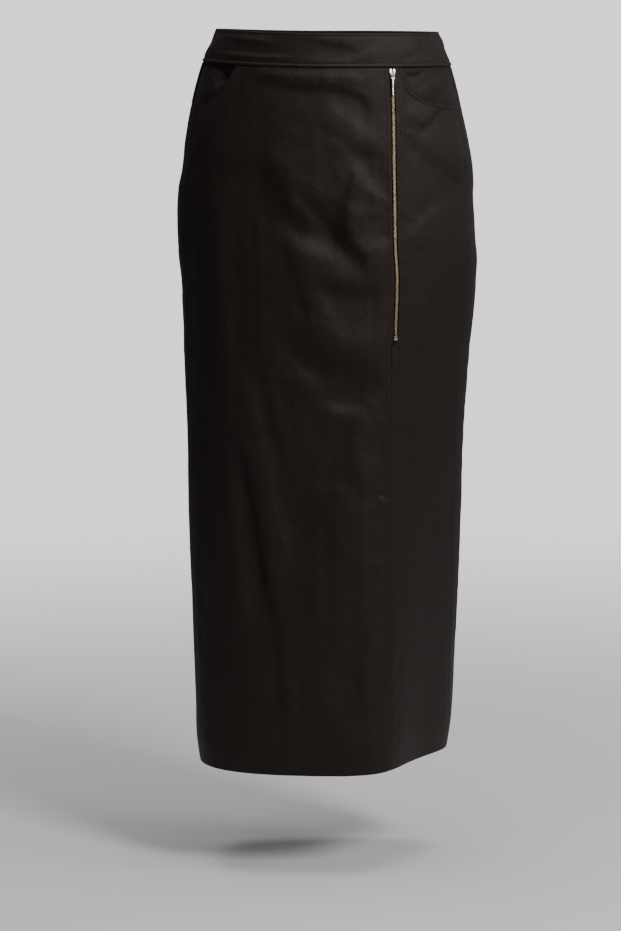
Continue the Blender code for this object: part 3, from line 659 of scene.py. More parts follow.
def side_pinch(turn, height):
    """The pinch of the side seams and the centre back seam."""
    arc = metres_per_turn(turn, height)
    total = np.zeros(turn.shape)
    for seam in (right_seam, left_seam, back_seam, right_seam_round):
        total = total + sum_bumps(PRESSED_SEAM, np.abs(turn - seam(height)) * arc)
    soft = 1 - 0.8 * smooth_step(-0.09, -0.20, height) * (np.abs(np.sin(turn)) > 0.5)
    return total * soft


def scoop_line(scoop, count=160):
    """The turns and heights along a pocket's mouth, from the side seam to the band."""
    left = scoop.band_turn_deg > 0
    near = (left_seam if left else right_seam)(np.array(PANEL_TOP))
    band = math.radians(scoop.band_turn_deg)
    angle = np.linspace(0, math.pi / 2, count)
    across = np.sin(angle) ** (2 / scoop.squareness)
    down = np.cos(angle) ** (2 / scoop.squareness)
    return near + (band - near) * across, PANEL_TOP - (PANEL_TOP - scoop.end_height) * down


SCOOP_REACH = 0.02  # distances from a pocket's mouth aren't needed past this
POINTS_AT_ONCE = 4000


def from_scoop(turn, height, scoop):
    """The distance from a pocket's mouth, found on the surface with no folds."""
    shape = turn.shape
    turn, height = turn.ravel(), height.ravel()
    line = bare_surface(*scoop_line(scoop))
    points = bare_surface(turn, height)
    away = np.full(len(points), 1.0)
    near = (points > line.min(0) - SCOOP_REACH) & (points < line.max(0) + SCOOP_REACH)
    near = np.flatnonzero(near.all(axis=1))
    for start in range(0, len(near), POINTS_AT_ONCE):
        some = near[start : start + POINTS_AT_ONCE]
        away[some] = np.linalg.norm(points[some, None] - line, axis=-1).min(axis=1)
    return away.reshape(shape)


def hem_curl(height):
    """The cloth turns in a little towards the hem."""
    return -0.0044 * np.maximum(1 - (height - HEM) / 0.050, 0) ** 2


def edge_relief(height):
    """A panel's hem, and its top edge below the band."""
    return hem_curl(height) + sum_bumps(HEM_EDGE, height - HEM) + sum_bumps(TUCK, PANEL_TOP - height)


def front_relief(turn, height):
    total = body_relief(turn, height) + side_pinch(turn, height) + edge_relief(height)
    for scoop in (SCOOP_RIGHT, SCOOP_LEFT):
        total = total + stitched_edge(from_scoop(turn, height, scoop), SCOOP_STITCH)
    return total


def front_right_relief(turn, height):
    """The wide panel, whose edge laps over the narrow one below the zip."""
    away = -from_front_line(turn, height)
    zip_part = smooth_step(LAP_SETTLES, LAP_BEGINS, height)
    stitch = LAP_STITCH + (ZIP_STITCH_RIGHT - LAP_STITCH) * zip_part
    edge = stitched_edge(away, stitch, 0.0001) + puckers(away, stitch, height, 11)
    lap = 0.0008 * smooth_step(0.016, 0.004, away) * (1 - zip_part)
    return front_relief(turn, height) + edge + lap


def front_left_relief(turn, height):
    away = from_front_line(turn, height)
    zip_part = smooth_step(BOX_BOTTOM, LAP_SETTLES, height)
    edge = stitched_edge(away, ZIP_STITCH_LEFT, 0.0001) + puckers(away, ZIP_STITCH_LEFT, height, 13)
    lap = -0.0006 * smooth_step(0.006, 0.0, away) * (1 - zip_part)
    bars = bump(height, BOX_TOP, 0.0011) + bump(height, BOX_BOTTOM, 0.0011)
    bars = -0.0003 * bars * smooth_step(0.014, 0.011, away)
    return front_relief(turn, height) + edge * zip_part + lap + bars


def dart_relief(turn, height):
    """A dart either side of the centre back: a fine sunken line that ends in a small dimple."""
    down = PANEL_TOP - height
    total = np.zeros(turn.shape)
    for side in (-1, 1):
        middle = side * (DART_OUT - DART_LEAN * down)
        away = (turn - BACK_SEAM_TURN) * metres_per_turn(turn, height) - middle
        reach = smooth_step(DART_LENGTH, DART_LENGTH - 0.02, down)
        total = total - 0.0008 * bump(away, 0, 0.0013) * reach
        total = total + 0.0006 * bump(away, side * 0.006, 0.004) * reach
        total = total - 0.0012 * bump(away, 0, 0.010) * bump(down, DART_LENGTH + 0.004, 0.010)
    return total


def pocket_recess(turn, height):
    """The back panel dips in beside the left pocket, whose bag holds the side seam out."""
    away = (turn - left_seam(height)) * metres_per_turn(turn, height)
    under = -0.0007 * bump(away, 0, 0.0050) * smooth_step(-0.30, -0.10, height)
    return under - 0.0042 * bump(away, 0.0020, 0.0048) * bump(height, -0.056, 0.017)


def back_relief(turn, height):
    total = body_relief(turn, height) + side_pinch(turn, height) + edge_relief(height)
    return total + dart_relief(turn, height) + pocket_recess(turn, height)


def band_relief(turn, height):
    """The waistband, with its lower and its top edge stitched."""
    up, down = height - BAND_SEAM, BAND_TOP - height
    total = BAND_PROUD + sum_bumps(BAND_FOOT, up) + sum_bumps(BAND_RIM, down)
    girth = turn * 0.15
    middle = smooth_step(0, 0.008, up - BAND_STITCH) * smooth_step(0, 0.008, down - BAND_EDGE_STITCH)
    soft = 0.0011 * soft_noise(girth / 0.055 + 2, height / 0.026 + 5, 21)
    soft = soft + 0.0004 * soft_noise(girth / 0.018, height / 0.030 + 3, 22)
    rim = 0.00015 * soft_noise(girth / 0.012, 0 * height, 23)
    return total + (soft + fold_relief(turn, height, BAND_FOLDS)) * middle + rim


def pocket_relief(turn, height):
    """The bearer, with short folds below the band. The right pocket stands open a little."""
    swell = 0.0010 * bump(height, -0.050, 0.016) * bump(np.abs(turn), 1.05, 0.22)
    folds = fold_relief(turn, height, POCKET_FOLDS) * smooth_step(0, 0.004, PANEL_TOP - height)
    held = smooth_step(-0.074, -0.066, height)
    gape = -0.0042 * bump(turn, math.radians(-50.5), 0.080) * bump(height, -0.036, 0.017)
    return -UNDER + 0.3 * grain_relief(turn, height) * held + (swell + folds + gape) * held


def allowance_relief(turn, height):
    return -ALLOWANCE_IN + 0.0002 * soft_noise(turn * 0.15 / 0.02, height / 0.03, 31)


def strip_relief(turn, height):
    """A seam's allowance, pressed open against the inside of the panels."""
    ply = HEM_PLY * smooth_step(HEM_DEPTH + 0.005, HEM_DEPTH + 0.001, height - HEM)
    return back_relief(turn, height) - CLOTH - ply - 0.0006


def underlap_relief(turn, height):
    return hem_curl(height) - UNDER - 0.0002 + 0.3 * grain_relief(turn, height)


# ---- Meshes ----


def graded(length, near_start, near_end):
    """Distances from 0 to length, close together near the ends that are named."""
    places = [0.0]
    while places[-1] < length:
        here = places[-1]
        fine = (near_start and here < FINE_REACH) or (near_end and length - here < FINE_REACH)
        near = (near_start and here < 3 * FINE_REACH) or (near_end and length - here < 3 * FINE_REACH)
        places.append(here + (FINE if fine else 0.6 * GRID if near else GRID))
    places = np.array(places)
    return places * (length / places[-1])


def shell(name, turns, heights, relief, thickness):
    """A closed cloth mesh with rounded edges, rows down the skirt and columns to the wearer's left.

    Its "grain" attribute holds metres across the cloth, metres down it, and the turn.
    """
    rows, columns = turns.shape
    count = rows * columns
    normals = normal_at(turns, heights).reshape(-1, 3)
    base = bare_surface(turns, heights).reshape(-1, 3)
    lift = relief(turns, heights).reshape(-1, 1)
    depth = np.broadcast_to(thickness, turns.shape).reshape(-1, 1)
    outer = base + normals * lift
    inner = base + normals * (lift - depth)
    index = np.arange(count).reshape(rows, columns)
    loop = np.concatenate([index[:-1, 0], index[-1, :-1], index[:0:-1, -1], index[0, :0:-1]])
    outward = unit(np.cross(outer[np.roll(loop, -1)] - outer[np.roll(loop, 1)], normals[loop]))
    rings = []
    for angle in (math.pi / 4, math.pi / 2, 3 * math.pi / 4):
        across = (inner[loop] - outer[loop]) * (1 - math.cos(angle)) / 2
        rings.append(outer[loop] + across + outward * (EDGE_ROUND * math.sin(angle)))

    corner = index[:-1, :-1].ravel()
    quads = np.stack([corner + columns, corner + columns + 1, corner + 1, corner], axis=1)
    faces = [quads, quads[:, ::-1] + count]
    edge = len(loop)
    lines = [loop, *(2 * count + k * edge + np.arange(edge) for k in range(3)), loop + count]
    for first, second in zip(lines, lines[1:]):
        faces.append(np.stack([np.roll(first, -1), first, second, np.roll(second, -1)], axis=1))

    across = grain_across(turns, heights).ravel()
    grain = np.stack([across, -heights.ravel(), turns.ravel()], axis=1)
    grain = np.concatenate([grain, grain, *[grain[loop]] * 3])
    return cloth_object(name, np.concatenate([outer, inner, *rings]), np.concatenate(faces), grain)


def added(name, data):
    obj = bpy.data.objects.new(name, data)
    bpy.context.scene.collection.objects.link(obj)
    return obj


def cloth_object(name, points, faces, grain):
    """A smooth object from arrays of points, of four-sided faces and of grain coordinates."""
    mesh = bpy.data.meshes.new(name)
    mesh.vertices.add(len(points))
    mesh.vertices.foreach_set("co", points.astype(np.float32).ravel())
    mesh.loops.add(faces.size)
    mesh.loops.foreach_set("vertex_index", faces.astype(np.int32).ravel())
    mesh.polygons.add(len(faces))
    mesh.polygons.foreach_set("loop_start", np.arange(0, faces.size, 4, dtype=np.int32))
    mesh.update(calc_edges=True)
    mesh.shade_smooth()
    held = mesh.attributes.new("grain", "FLOAT_VECTOR", "POINT")
    held.data.foreach_set("vector", grain.astype(np.float32).ravel())
    return added(name, mesh)


def grain_across(turns, heights):
    """Metres across the cloth from the panel's middle, along each row."""
    points = bare_surface(turns, heights)
    steps = np.linalg.norm(np.diff(points, axis=1), axis=-1)
    across = np.concatenate([np.zeros((len(turns), 1)), np.cumsum(steps, axis=1)], axis=1)
    return across - across[:, [turns.shape[1] // 2]]


def panel(name, left, right, shares, tops, bottom, relief, thickness=CLOTH):
    """A cloth piece between two edges, each a turn for every height. tops is its top at each column."""
    tops = np.broadcast_to(tops, shares.shape)
    down = graded(np.max(tops) - bottom, True, True)
    heights = (np.max(tops) - down)[:, None] + np.zeros(len(shares))
    floor = max(SHARED_ROWS, bottom)
    squeeze = (tops - floor) / (heights[0] - floor)
    heights = np.where(heights > floor, floor + (heights - floor) * squeeze, heights)
    first = shifted(left(heights), heights, EDGE_ROUND)
    last = shifted(right(heights), heights, -EDGE_ROUND)
    if bottom == HEM:
        thickness = thickness + HEM_PLY * smooth_step(HEM_DEPTH + 0.001, HEM_DEPTH, heights - HEM)
    return shell(name, first + shares * (last - first), heights, relief, thickness)


def scoop_share(left, right, scoop):
    """Where the pocket's mouth meets the band, as a share of the front panel's width."""
    start, end = left(np.array(PANEL_TOP)), right(np.array(PANEL_TOP))
    return (math.radians(scoop.band_turn_deg) - start) / (end - start)


def scoop_tops(left, right, shares, scoop):
    """The top of each column of a front panel, which follows the pocket's mouth near the side."""
    band = scoop_share(left, right, scoop)
    away = shares / band if scoop.band_turn_deg < 0 else (1 - shares) / (1 - band)
    fall = (1 - np.minimum(away, 1) ** scoop.squareness) ** (1 / scoop.squareness)
    return PANEL_TOP - EDGE_ROUND - (PANEL_TOP - scoop.end_height) * fall


def scoop_shares(left, right, width, scoop):
    """Even columns, with more of them where the pocket's mouth turns steep."""
    band = scoop_share(left, right, scoop)
    fall = np.linspace(0, 0.96, STEEP_COLUMNS)
    away = (1 - fall**scoop.squareness) ** (1 / scoop.squareness)
    steep = away * band if scoop.band_turn_deg < 0 else 1 - away * (1 - band)
    kept = [0.0]
    for share in np.sort(np.concatenate([graded(width, True, True) / width, steep])):
        if (share - kept[-1]) * width > LEAST_COLUMN:
            kept.append(share)
    kept[-1] = 1.0
    return np.array(kept)


def wrapped(rings, closed=False):
    """The points and faces of a skin round rings of points, capped at its ends or joined to itself."""
    rings = np.asarray(rings)
    count, sides = rings.shape[:2]
    size = count * sides
    faces = []
    for ring in range(count if closed else count - 1):
        for s in range(sides):
            a, b = ring * sides + s, ring * sides + (s + 1) % sides
            faces.append((a, b, (b + sides) % size, (a + sides) % size))
    if not closed:
        faces += [tuple(range(sides - 1, -1, -1)), tuple(range(size - sides, size))]
    return rings.reshape(-1, 3), faces


def round_angles(count):
    return [2 * math.pi * i / count for i in range(count)]


def ring_round(place, side, out, radius, count):
    """Points on a circle round a place, in the plane of two directions."""
    return [place + (side * math.cos(a) + out * math.sin(a)) * radius for a in round_angles(count)]


# ---- Stitches ----

# A stitch's rings: the share of its length from the middle, the share of its radius, and how far each
# stands out of the cloth, in its own radii
ThreadRing = namedtuple("ThreadRing", "along wide lift")
THREAD_RINGS = [
    ThreadRing(-0.50, 0.25, -1.3),
    ThreadRing(-0.32, 1.00, 0.1),
    ThreadRing(0.32, 1.00, 0.1),
    ThreadRing(0.50, 0.25, -1.3),
]


def read_line(values, travel, at):
    return np.array([np.interp(at, travel, values[:, k]) for k in range(3)])


def stitches(name, lines):
    """Threads along lines of (points, normals): each stitch a short tube whose ends dip into the cloth."""
    parts = []
    for points, normals in lines:
        travel = np.linalg.norm(np.diff(points, axis=0), axis=1)
        travel = np.concatenate([[0], np.cumsum(travel)])
        for centre in np.arange(STITCH_PITCH / 2, travel[-1] - STITCH_LENGTH / 2, STITCH_PITCH):
            rings = []
            for ring in THREAD_RINGS:
                at = centre + ring.along * STITCH_LENGTH
                radius = ring.wide * THREAD
                place, out = read_line(points, travel, at), read_line(normals, travel, at)
                forward = read_line(points, travel, at + 1e-4) - read_line(points, travel, at - 1e-4)
                side = unit(np.cross(forward, out))
                rings.append(ring_round(place + out * ring.lift * radius, side, out, radius, 5))
            parts.append(wrapped(rings))
    return joined(name, parts)


def cloth_line(turns, heights, relief):
    """The points and normals of a line drawn on a cloth piece."""
    turns, heights = np.broadcast_arrays(np.asarray(turns, float), np.asarray(heights, float))
    normals = normal_at(turns, heights)
    return bare_surface(turns, heights) + normals * relief(turns, heights)[:, None], normals


def offset_scoop(scoop, distance):
    """A line outside a pocket's mouth, this far from it."""
    turns, heights = scoop_line(scoop)
    tangent = np.gradient(bare_surface(turns, heights), axis=0)
    outward = unit(np.cross(tangent, normal_at(turns, heights)))
    across = outward * distance * (1 if scoop.band_turn_deg > 0 else -1)
    along = unit(along_cloth(turns, heights))
    turns = turns + (across * along).sum(axis=1) / metres_per_turn(turns, heights)
    heights = heights + across[:, 2]
    keep = heights < PANEL_TOP - STITCH_CLEAR
    return turns[keep], heights[keep]


# ---- Zip hardware, each piece in its own frame: y outwards, z up the zip, x across it ----


def zip_frames(heights):
    """The origins and axes of frames on the zip's line, at the cloth's surface."""
    turns = zip_turn(heights)
    across = along_cloth(turns, heights)
    out = normal_at(turns, heights)
    across = unit(across - out * (across * out).sum(axis=-1, keepdims=True))
    up = np.cross(out, across)
    return bare_surface(turns, heights), np.stack([np.cross(out, up), out, up], axis=-1)


def frame_matrix(height, outward):
    origins, axes = zip_frames(np.array([height]))
    matrix = Matrix(axes[0].tolist()).to_4x4()
    matrix.translation = Vector(origins[0]) + matrix.col[1].xyz * outward
    return matrix


def slab(outline, low, high, bevel):
    """A plate's points and faces: its outline in x, z, anticlockwise seen from -y, bevelled outside."""
    outline = np.array(outline)
    ahead = np.roll(outline, -1, axis=0) - outline
    turn = unit(unit(ahead) + unit(np.roll(ahead, 1, axis=0)))
    inward = np.stack([-turn[:, 1], turn[:, 0]], axis=1) * bevel
    levels = [(0, low), (0, high - bevel), (0.3, high - 0.3 * bevel), (1, high)]
    rings = [np.insert(outline + inward * share, 1, y, axis=1) for share, y in levels]
    points, faces = wrapped(rings)
    return points, [face[::-1] for face in faces]


def tube(path, radius, flat):
    """A closed tube along a path of points in a plane of constant x."""
    side = np.array([1.0, 0, 0])
    other = np.cross(unit(np.gradient(path, axis=0)), side)
    return wrapped([ring_round(place, side * flat, out, radius, 10) for place, out in zip(path, other)])


def joined(name, parts, matrix=None):
    """One smooth object from several (points, faces). With a matrix, it is placed and keeps its edges."""
    points, faces = [], []
    for part_points, part_faces in parts:
        start = len(points)
        points.extend(part_points.tolist())
        faces.extend(tuple(i + start for i in face) for face in part_faces)
    mesh = bpy.data.meshes.new(name)
    mesh.from_pydata(points, [], faces)
    mesh.shade_smooth()
    obj = added(name, mesh)
    if matrix is not None:
        mesh.set_sharp_from_angle(angle=math.radians(42))
        obj.matrix_world = matrix
    return obj


TOOTH_PITCH = 0.00165  # between neighbours on one side
TOOTH_REACH, TOOTH_PAST = 0.00180, 0.00045  # from the centre to its root, and past the centre
TOOTH_HEIGHT = 0.00098
CHAIN_OUTER = CHAIN_THICKNESS - (UNDER - SEAT_GAP)  # how far out the teeth stand
CHAIN_BOTTOM = ZIP_BOTTOM + STOP_HEIGHT + 0.004
SLIDER_MIDDLE = BAND_SEAM - SLIDER_LENGTH * 0.55 - 0.0012


def mirrored(half):
    """An outline from its right half, which goes from the middle's lower end to its upper end."""
    return half + [(-x, z) for x, z in half[::-1]]


def tooth_outline():
    """One tooth in x, z: a square root on the tape's cord and a narrower head past the centre."""
    root, tip, half = TOOTH_REACH, -TOOTH_PAST, TOOTH_HEIGHT / 2
    lower = [(tip, 0.55), (tip + 0.0006, 0.80), (root * 0.42, 0.72), (root - 0.0003, 1), (root, 0.6)]
    return [(x, -z * half) for x, z in lower] + [(x, z * half) for x, z in lower[::-1]]


def make_chain():
    """The teeth of the closed zip, alternate ones from either side."""
    points, faces = slab(tooth_outline(), CHAIN_OUTER - 0.0017, CHAIN_OUTER, 0.00022)
    heights = np.arange(ZIP_TOP - 0.0100, CHAIN_BOTTOM + 0.0006, -TOOTH_PITCH / 2)
    parts = []
    for number, (origin, turn) in enumerate(zip(*zip_frames(heights))):
        mirror = -1 if number % 2 else 1
        placed = (points * (mirror, 1, 1)) @ turn.T + origin
        parts.append((placed, [face[::mirror] for face in faces]))
    return joined("zip_teeth", parts, Matrix.Identity(4))


SLIDER_LOBE = [
    (0.0018, -0.0052), (0.0021, -0.0040), (0.0024, -0.0018), (0.0031, 0.0006), (0.0038, 0.0024),
    (0.0041, 0.0040), (0.0039, 0.0053), (0.0032, 0.0065), (0.0022, 0.0070),
]
BRIDGE_FEET = (0.0011, -0.0027)


def slider_half(side):
    """Half of the slider's front plate in x, z: a round lobe drawn in to a narrow tail."""
    inner = 0.0010 if side < 0 else 0.0004
    half = [(inner, -0.0050), *SLIDER_LOBE, (inner + 0.0006, 0.0068), (inner, 0.0058)]
    return [(side * x, z) for x, z in half[::side]]


def make_slider():
    """The slider: two lobes with a groove between them, a crossbar, and a bridge on two feet."""
    parts = [slab(slider_half(side), 0.0, PLATE_THICKNESS, 0.00040) for side in (-1, 1)]
    bar = [(0.0024, -0.0062), (0.0026, -0.0056), (0.0026, -0.0044), (0.0022, -0.0038)]
    parts.append(slab(mirrored(bar), 0.0, PLATE_THICKNESS + 0.0003, 0.0003))
    top, foot = PLATE_THICKNESS + BAR_LIFT, PLATE_THICKNESS * 0.6
    angles = np.linspace(0, math.pi, 13)
    arch = [(0.0, top + 0.0016 * math.sin(a), 0.0019 * math.cos(a) - 0.0008) for a in angles]
    upper, lower = BRIDGE_FEET
    parts.append(tube([(0.0, foot, upper), *arch, (0.0, foot, lower)], 0.00042, 1.2))
    for z in BRIDGE_FEET:
        low, high = z - 0.0006, z + 0.0006
        tie = [(-0.0016, low), (0.0016, low), (0.0016, high), (-0.0016, high)]
        parts.append(slab(tie, 0.0001, PLATE_THICKNESS * 0.7, 0.0002))
    return joined("zip_slider_body", parts, frame_matrix(SLIDER_MIDDLE, CHAIN_OUTER + SEAT_GAP))


PullSection = namedtuple("PullSection", "z half_width half_thickness")
PULL = [
    PullSection(-0.0040, 0.0008, 0.0005),
    PullSection(-0.0048, 0.0011, 0.0007),
    PullSection(-0.0070, 0.0013, 0.0008),
    PullSection(-0.0110, 0.0013, 0.0009),
    PullSection(-0.0152, 0.0011, 0.0009),
    PullSection(-0.0179, 0.0010, 0.0008),
    PullSection(-0.0191, 0.0009, 0.0008),
    PullSection(-0.0199, 0.0012, 0.0011),
    PullSection(-0.0208, 0.0015, 0.0013),
    PullSection(-0.0216, 0.0010, 0.0008),
    PullSection(-0.0225, 0.0015, 0.0013),
    PullSection(-0.0234, 0.0015, 0.0013),
    PullSection(-0.0242, 0.0009, 0.0008),
    PullSection(-0.0250, 0.0014, 0.0012),
    PullSection(-0.0259, 0.0014, 0.0012),
    PullSection(-0.0268, 0.0011, 0.0009),
    PullSection(-0.0276, 0.0006, 0.0005),
]
PULL_SWING_DEG = -3.5
RING_WIDTH, RING_HEIGHT, RING_WIRE = 0.0017, 0.0023, 0.00050


def make_pull():
    """The pull: a ring on the bar, a flat stem that narrows, and a turned knob."""
    stem, loop = [], []
    for section in PULL:
        ring = []
        for angle in round_angles(20):
            x, y = math.cos(angle), math.sin(angle)
            square = (abs(x) ** 3 + abs(y) ** 3) ** (-1 / 3)
            ring.append((x * square * section.half_width, y * square * section.half_thickness, section.z))
        stem.append(ring)
    for angle in round_angles(28):
        out = np.array([math.cos(angle), 0.0, math.sin(angle)])
        centre = out * (RING_WIDTH, 0, RING_HEIGHT) - (0, 0, RING_HEIGHT)
        loop.append(ring_round(centre, out, np.array([0, 1, 0]), RING_WIRE, 8))
    points, faces = wrapped(stem)
    parts = [(points, [face[::-1] for face in faces]), wrapped(loop, closed=True)]
    lift = CHAIN_OUTER + SEAT_GAP + PLATE_THICKNESS + BAR_LIFT
    swing = Matrix.Rotation(math.radians(PULL_SWING_DEG), 4, "Y")
    return joined("zip_pull_tab", parts, frame_matrix(SLIDER_MIDDLE, lift) @ swing)


def make_stop():
    """The box at the chain's lower end: a bevelled block with a pressed line across it."""
    matrix = frame_matrix(CHAIN_BOTTOM - SEAT_GAP - STOP_HEIGHT / 2, SEAT_GAP - UNDER)
    x, z, cut = STOP_WIDTH / 2 - 0.0002, STOP_HEIGHT / 2, 0.0006
    upper = mirrored([(x, 0.0003), (x, z - cut), (x - cut, z)])
    lower = [(px, -pz) for px, pz in upper[::-1]]
    line = mirrored([(x, -0.001), (x, 0.001)])
    parts = [slab(outline, 0.0, STOP_THICKNESS, 0.0004) for outline in (upper, lower)]
    parts.append(slab(line, 0.0, STOP_THICKNESS - 0.0005, 0.0001))
    return joined("zip_stop_box", parts, matrix)


# ---- Materials ----


class Nodes:
    """A material's node tree with short ways to add to it."""

    def __init__(self, name):
        self.material = bpy.data.materials.new(name)
        self.material.use_nodes = True
        self.tree = self.material.node_tree
        self.shader = self.tree.nodes["Principled BSDF"]

    def put(self, sockets, inputs):
        """Gives sockets their values or links. inputs holds them by the socket's name or number."""
        for key, value in inputs.items():
            if isinstance(value, bpy.types.NodeSocket):
                self.tree.links.new(value, sockets[key])
            else:
                sockets[key].default_value = value

    def add(self, kind, inputs, **settings):
        """The outputs of a new node of this kind."""
        node = self.tree.nodes.new("ShaderNode" + kind)
        for key, value in settings.items():
            setattr(node, key, value)
        self.put(node.inputs, inputs)
        return node.outputs

    def math(self, operation, *values):
        """The values joined by an operation, one after another."""
        result = values[0]
        for value in values[1:]:
            result = self.add("Math", {0: result, 1: value}, operation=operation)[0]
        return result

    def scaled(self, vector, scale):
        return self.add("VectorMath", {0: vector, 1: scale}, operation="MULTIPLY")[0]

    def grain(self, across, down):
        """The grain coordinates, with so many units to the metre each way."""
        held = self.add("Attribute", {}, attribute_name="grain")
        return self.scaled(held["Vector"], (across, down, 0))

    def place(self, level, upright):
        """The object's own coordinates, with so many units to the metre."""
        return self.scaled(self.add("TexCoord", {})["Object"], (level, level, upright))

    def noise(self, vector, detail):
        return self.add("TexNoise", {"Vector": vector, "Scale": 1.0, "Detail": detail})[0]

    def ribs(self, vector, distortion):
        inputs = {"Vector": vector, "Scale": 1.0, "Distortion": distortion}
        return self.add("TexWave", inputs, bands_direction="DIAGONAL")[1]

    def ramp(self, value, low, high, start=0.25, end=0.75, **settings):
        """A value moved from the range start to end into the range low to high."""
        inputs = {"Value": value, "From Min": start, "From Max": end, "To Min": low, "To Max": high}
        return self.add("MapRange", inputs, **settings)[0]

    def tint(self, colour, factor):
        """A colour made lighter or darker by a factor from the nodes."""
        grey = self.add("CombineColor", {0: factor, 1: factor, 2: factor})[0]
        inputs = {0: 1.0, 6: (*colour, 1), 7: grey}
        return self.add("Mix", inputs, data_type="RGBA", blend_type="MULTIPLY")[2]

    def finish(self, colour, roughness, height, distance, constants):
        """Joins the colour, the roughness and the bump height to the shader."""
        bumps = self.add("Bump", {"Distance": distance, "Height": height})[0]
        self.put(self.shader.inputs, {"Base Color": colour, "Roughness": roughness, "Normal": bumps})
        self.put(self.shader.inputs, constants)
        return self.material


def sateen(name, colour, roughness):
    """Satin-faced cotton: fine floats, slubs that run down the cloth, and a soft low sheen."""
    nodes = Nodes(name)
    ramp = nodes.ramp
    floats = nodes.ribs(nodes.grain(420.0, 900.0), 0.6)
    slubs = nodes.noise(nodes.grain(620.0, 28.0), 3.0)
    streaks = nodes.noise(nodes.grain(95.0, 5.0), 2.0)
    mottle = nodes.noise(nodes.grain(16.0, 11.0), 3.0)
    specks = nodes.noise(nodes.grain(1500.0, 1500.0), 1.0)
    patches = nodes.noise(nodes.grain(150.0, 120.0), 3.0)
    dimples = nodes.noise(nodes.grain(330.0, 210.0), 2.0)
    shades = ramp(streaks, 0.93, 1.07), ramp(mottle, 0.92, 1.08), ramp(patches, 0.84, 1.16)
    factor = nodes.math("MULTIPLY", *shades, ramp(slubs, 0.90, 1.10))
    uneven = ramp(streaks, -0.03, 0.03), ramp(slubs, -0.03, 0.03)
    rough = nodes.math("ADD", *uneven, ramp(mottle, roughness - 0.02, roughness + 0.02))
    bumps = ramp(floats, 0.0, 0.35), ramp(slubs, 0.0, 0.5), ramp(specks, 0.0, 0.35)
    height = nodes.math("ADD", *bumps, ramp(dimples, 0.0, 3.2))
    sheen = {"Sheen Weight": 0.02, "Sheen Roughness": 0.35}
    shine = {"Specular IOR Level": 0.26, "Specular Tint": (1.0, 0.84, 0.80, 1.0)}
    return nodes.finish(nodes.tint(colour, factor), rough, height, 0.00006, {**sheen, **shine})


def tape_weave(name):
    """The zip's twill tape: close slanting ribs, matt."""
    nodes = Nodes(name)
    ribs = nodes.ribs(nodes.place(900.0, 1400.0), 0.3)
    fuzz = nodes.noise(nodes.place(700.0, 700.0), 2.0)
    colour = nodes.tint((0.0082, 0.0064, 0.0060), nodes.ramp(fuzz, 0.8, 1.2))
    height = nodes.math("ADD", ribs, fuzz)
    return nodes.finish(colour, nodes.ramp(fuzz, 0.72, 0.84), height, 0.00010, {"Specular IOR Level": 0.3})


def brass(name, colour, polish):
    """Gold-tone brass with fine brushed marks and a little tarnish in patches."""
    nodes = Nodes(name)
    marks = nodes.noise(nodes.place(900.0, 5200.0), 2.0)
    patches = nodes.noise(nodes.place(160.0, 160.0), 2.0)
    factor = nodes.math("MULTIPLY", nodes.ramp(marks, 0.93, 1.05), nodes.ramp(patches, 0.88, 1.06))
    rough = nodes.math("ADD", nodes.ramp(marks, -0.05, 0.05), nodes.ramp(patches, polish, polish + 0.1))
    return nodes.finish(nodes.tint(colour, factor), rough, marks, 0.00003, {"Metallic": 1.0})


Plain = namedtuple("Plain", "colour scale detail lightest rough distance shine")
THREAD_FINISH = Plain((0.0066, 0.0050, 0.0046), (2600.0, 900.0), 1.0, 1.2, (0.52, 0.62), 0.00008, 0.22)
ENAMEL = Plain((0.012, 0.012, 0.013), (420.0, 420.0), 3.0, 1.5, (0.28, 0.42), 0.00004, 0.5)


def plain(name, look):
    """A material that one noise makes uneven: its colour, its roughness and its height."""
    nodes = Nodes(name)
    noise = nodes.noise(nodes.place(*look.scale), look.detail)
    colour = nodes.tint(look.colour, nodes.ramp(noise, 0.8, look.lightest))
    rough = nodes.ramp(noise, *look.rough)
    return nodes.finish(colour, rough, noise, look.distance, {"Specular IOR Level": look.shine})


# ---- The object ----

BLACK = (0.0088, 0.0061, 0.0055)
POCKET_BLACK = (0.0080, 0.0056, 0.0050)


def dress(obj, material, nodes=(), body="root"):
    """Gives a piece its material and its body, and hides the frame's nodes that it stands for."""
    obj.data.materials.append(material)
    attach(obj, body)
    if nodes:
        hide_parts(*nodes)
    return obj


BAND_ROWS, BAND_GRID, BAND_INSET = 50, 0.0016, EDGE_ROUND - 0.0001


def make_band(black):
    """The waistband's three lengths, each between two seams."""
    pieces = [
        ("band_front", "waistband_front", right_seam, left_seam, 0.26),
        ("band_back_left", "waistband_back_left", left_seam, back_seam, 0.19),
        ("band_back_right", "waistband_back_right", back_seam, right_seam_round, 0.19),
    ]
    levels = BAND_TOP - np.linspace(EDGE_ROUND, BAND_HEIGHT - EDGE_ROUND, BAND_ROWS)
    made = {}
    for name, node, start, end, width in pieces:
        shares = np.linspace(0, 1, int(width / BAND_GRID))
        heights = levels[:, None] + np.zeros(len(shares))
        first = shifted(start(heights), heights, BAND_INSET)
        last = shifted(end(heights), heights, -BAND_INSET)
        band = shell(name, first + shares * (last - first), heights, band_relief, BAND_CLOTH)
        made[name] = dress(band, black, [node])
    return made


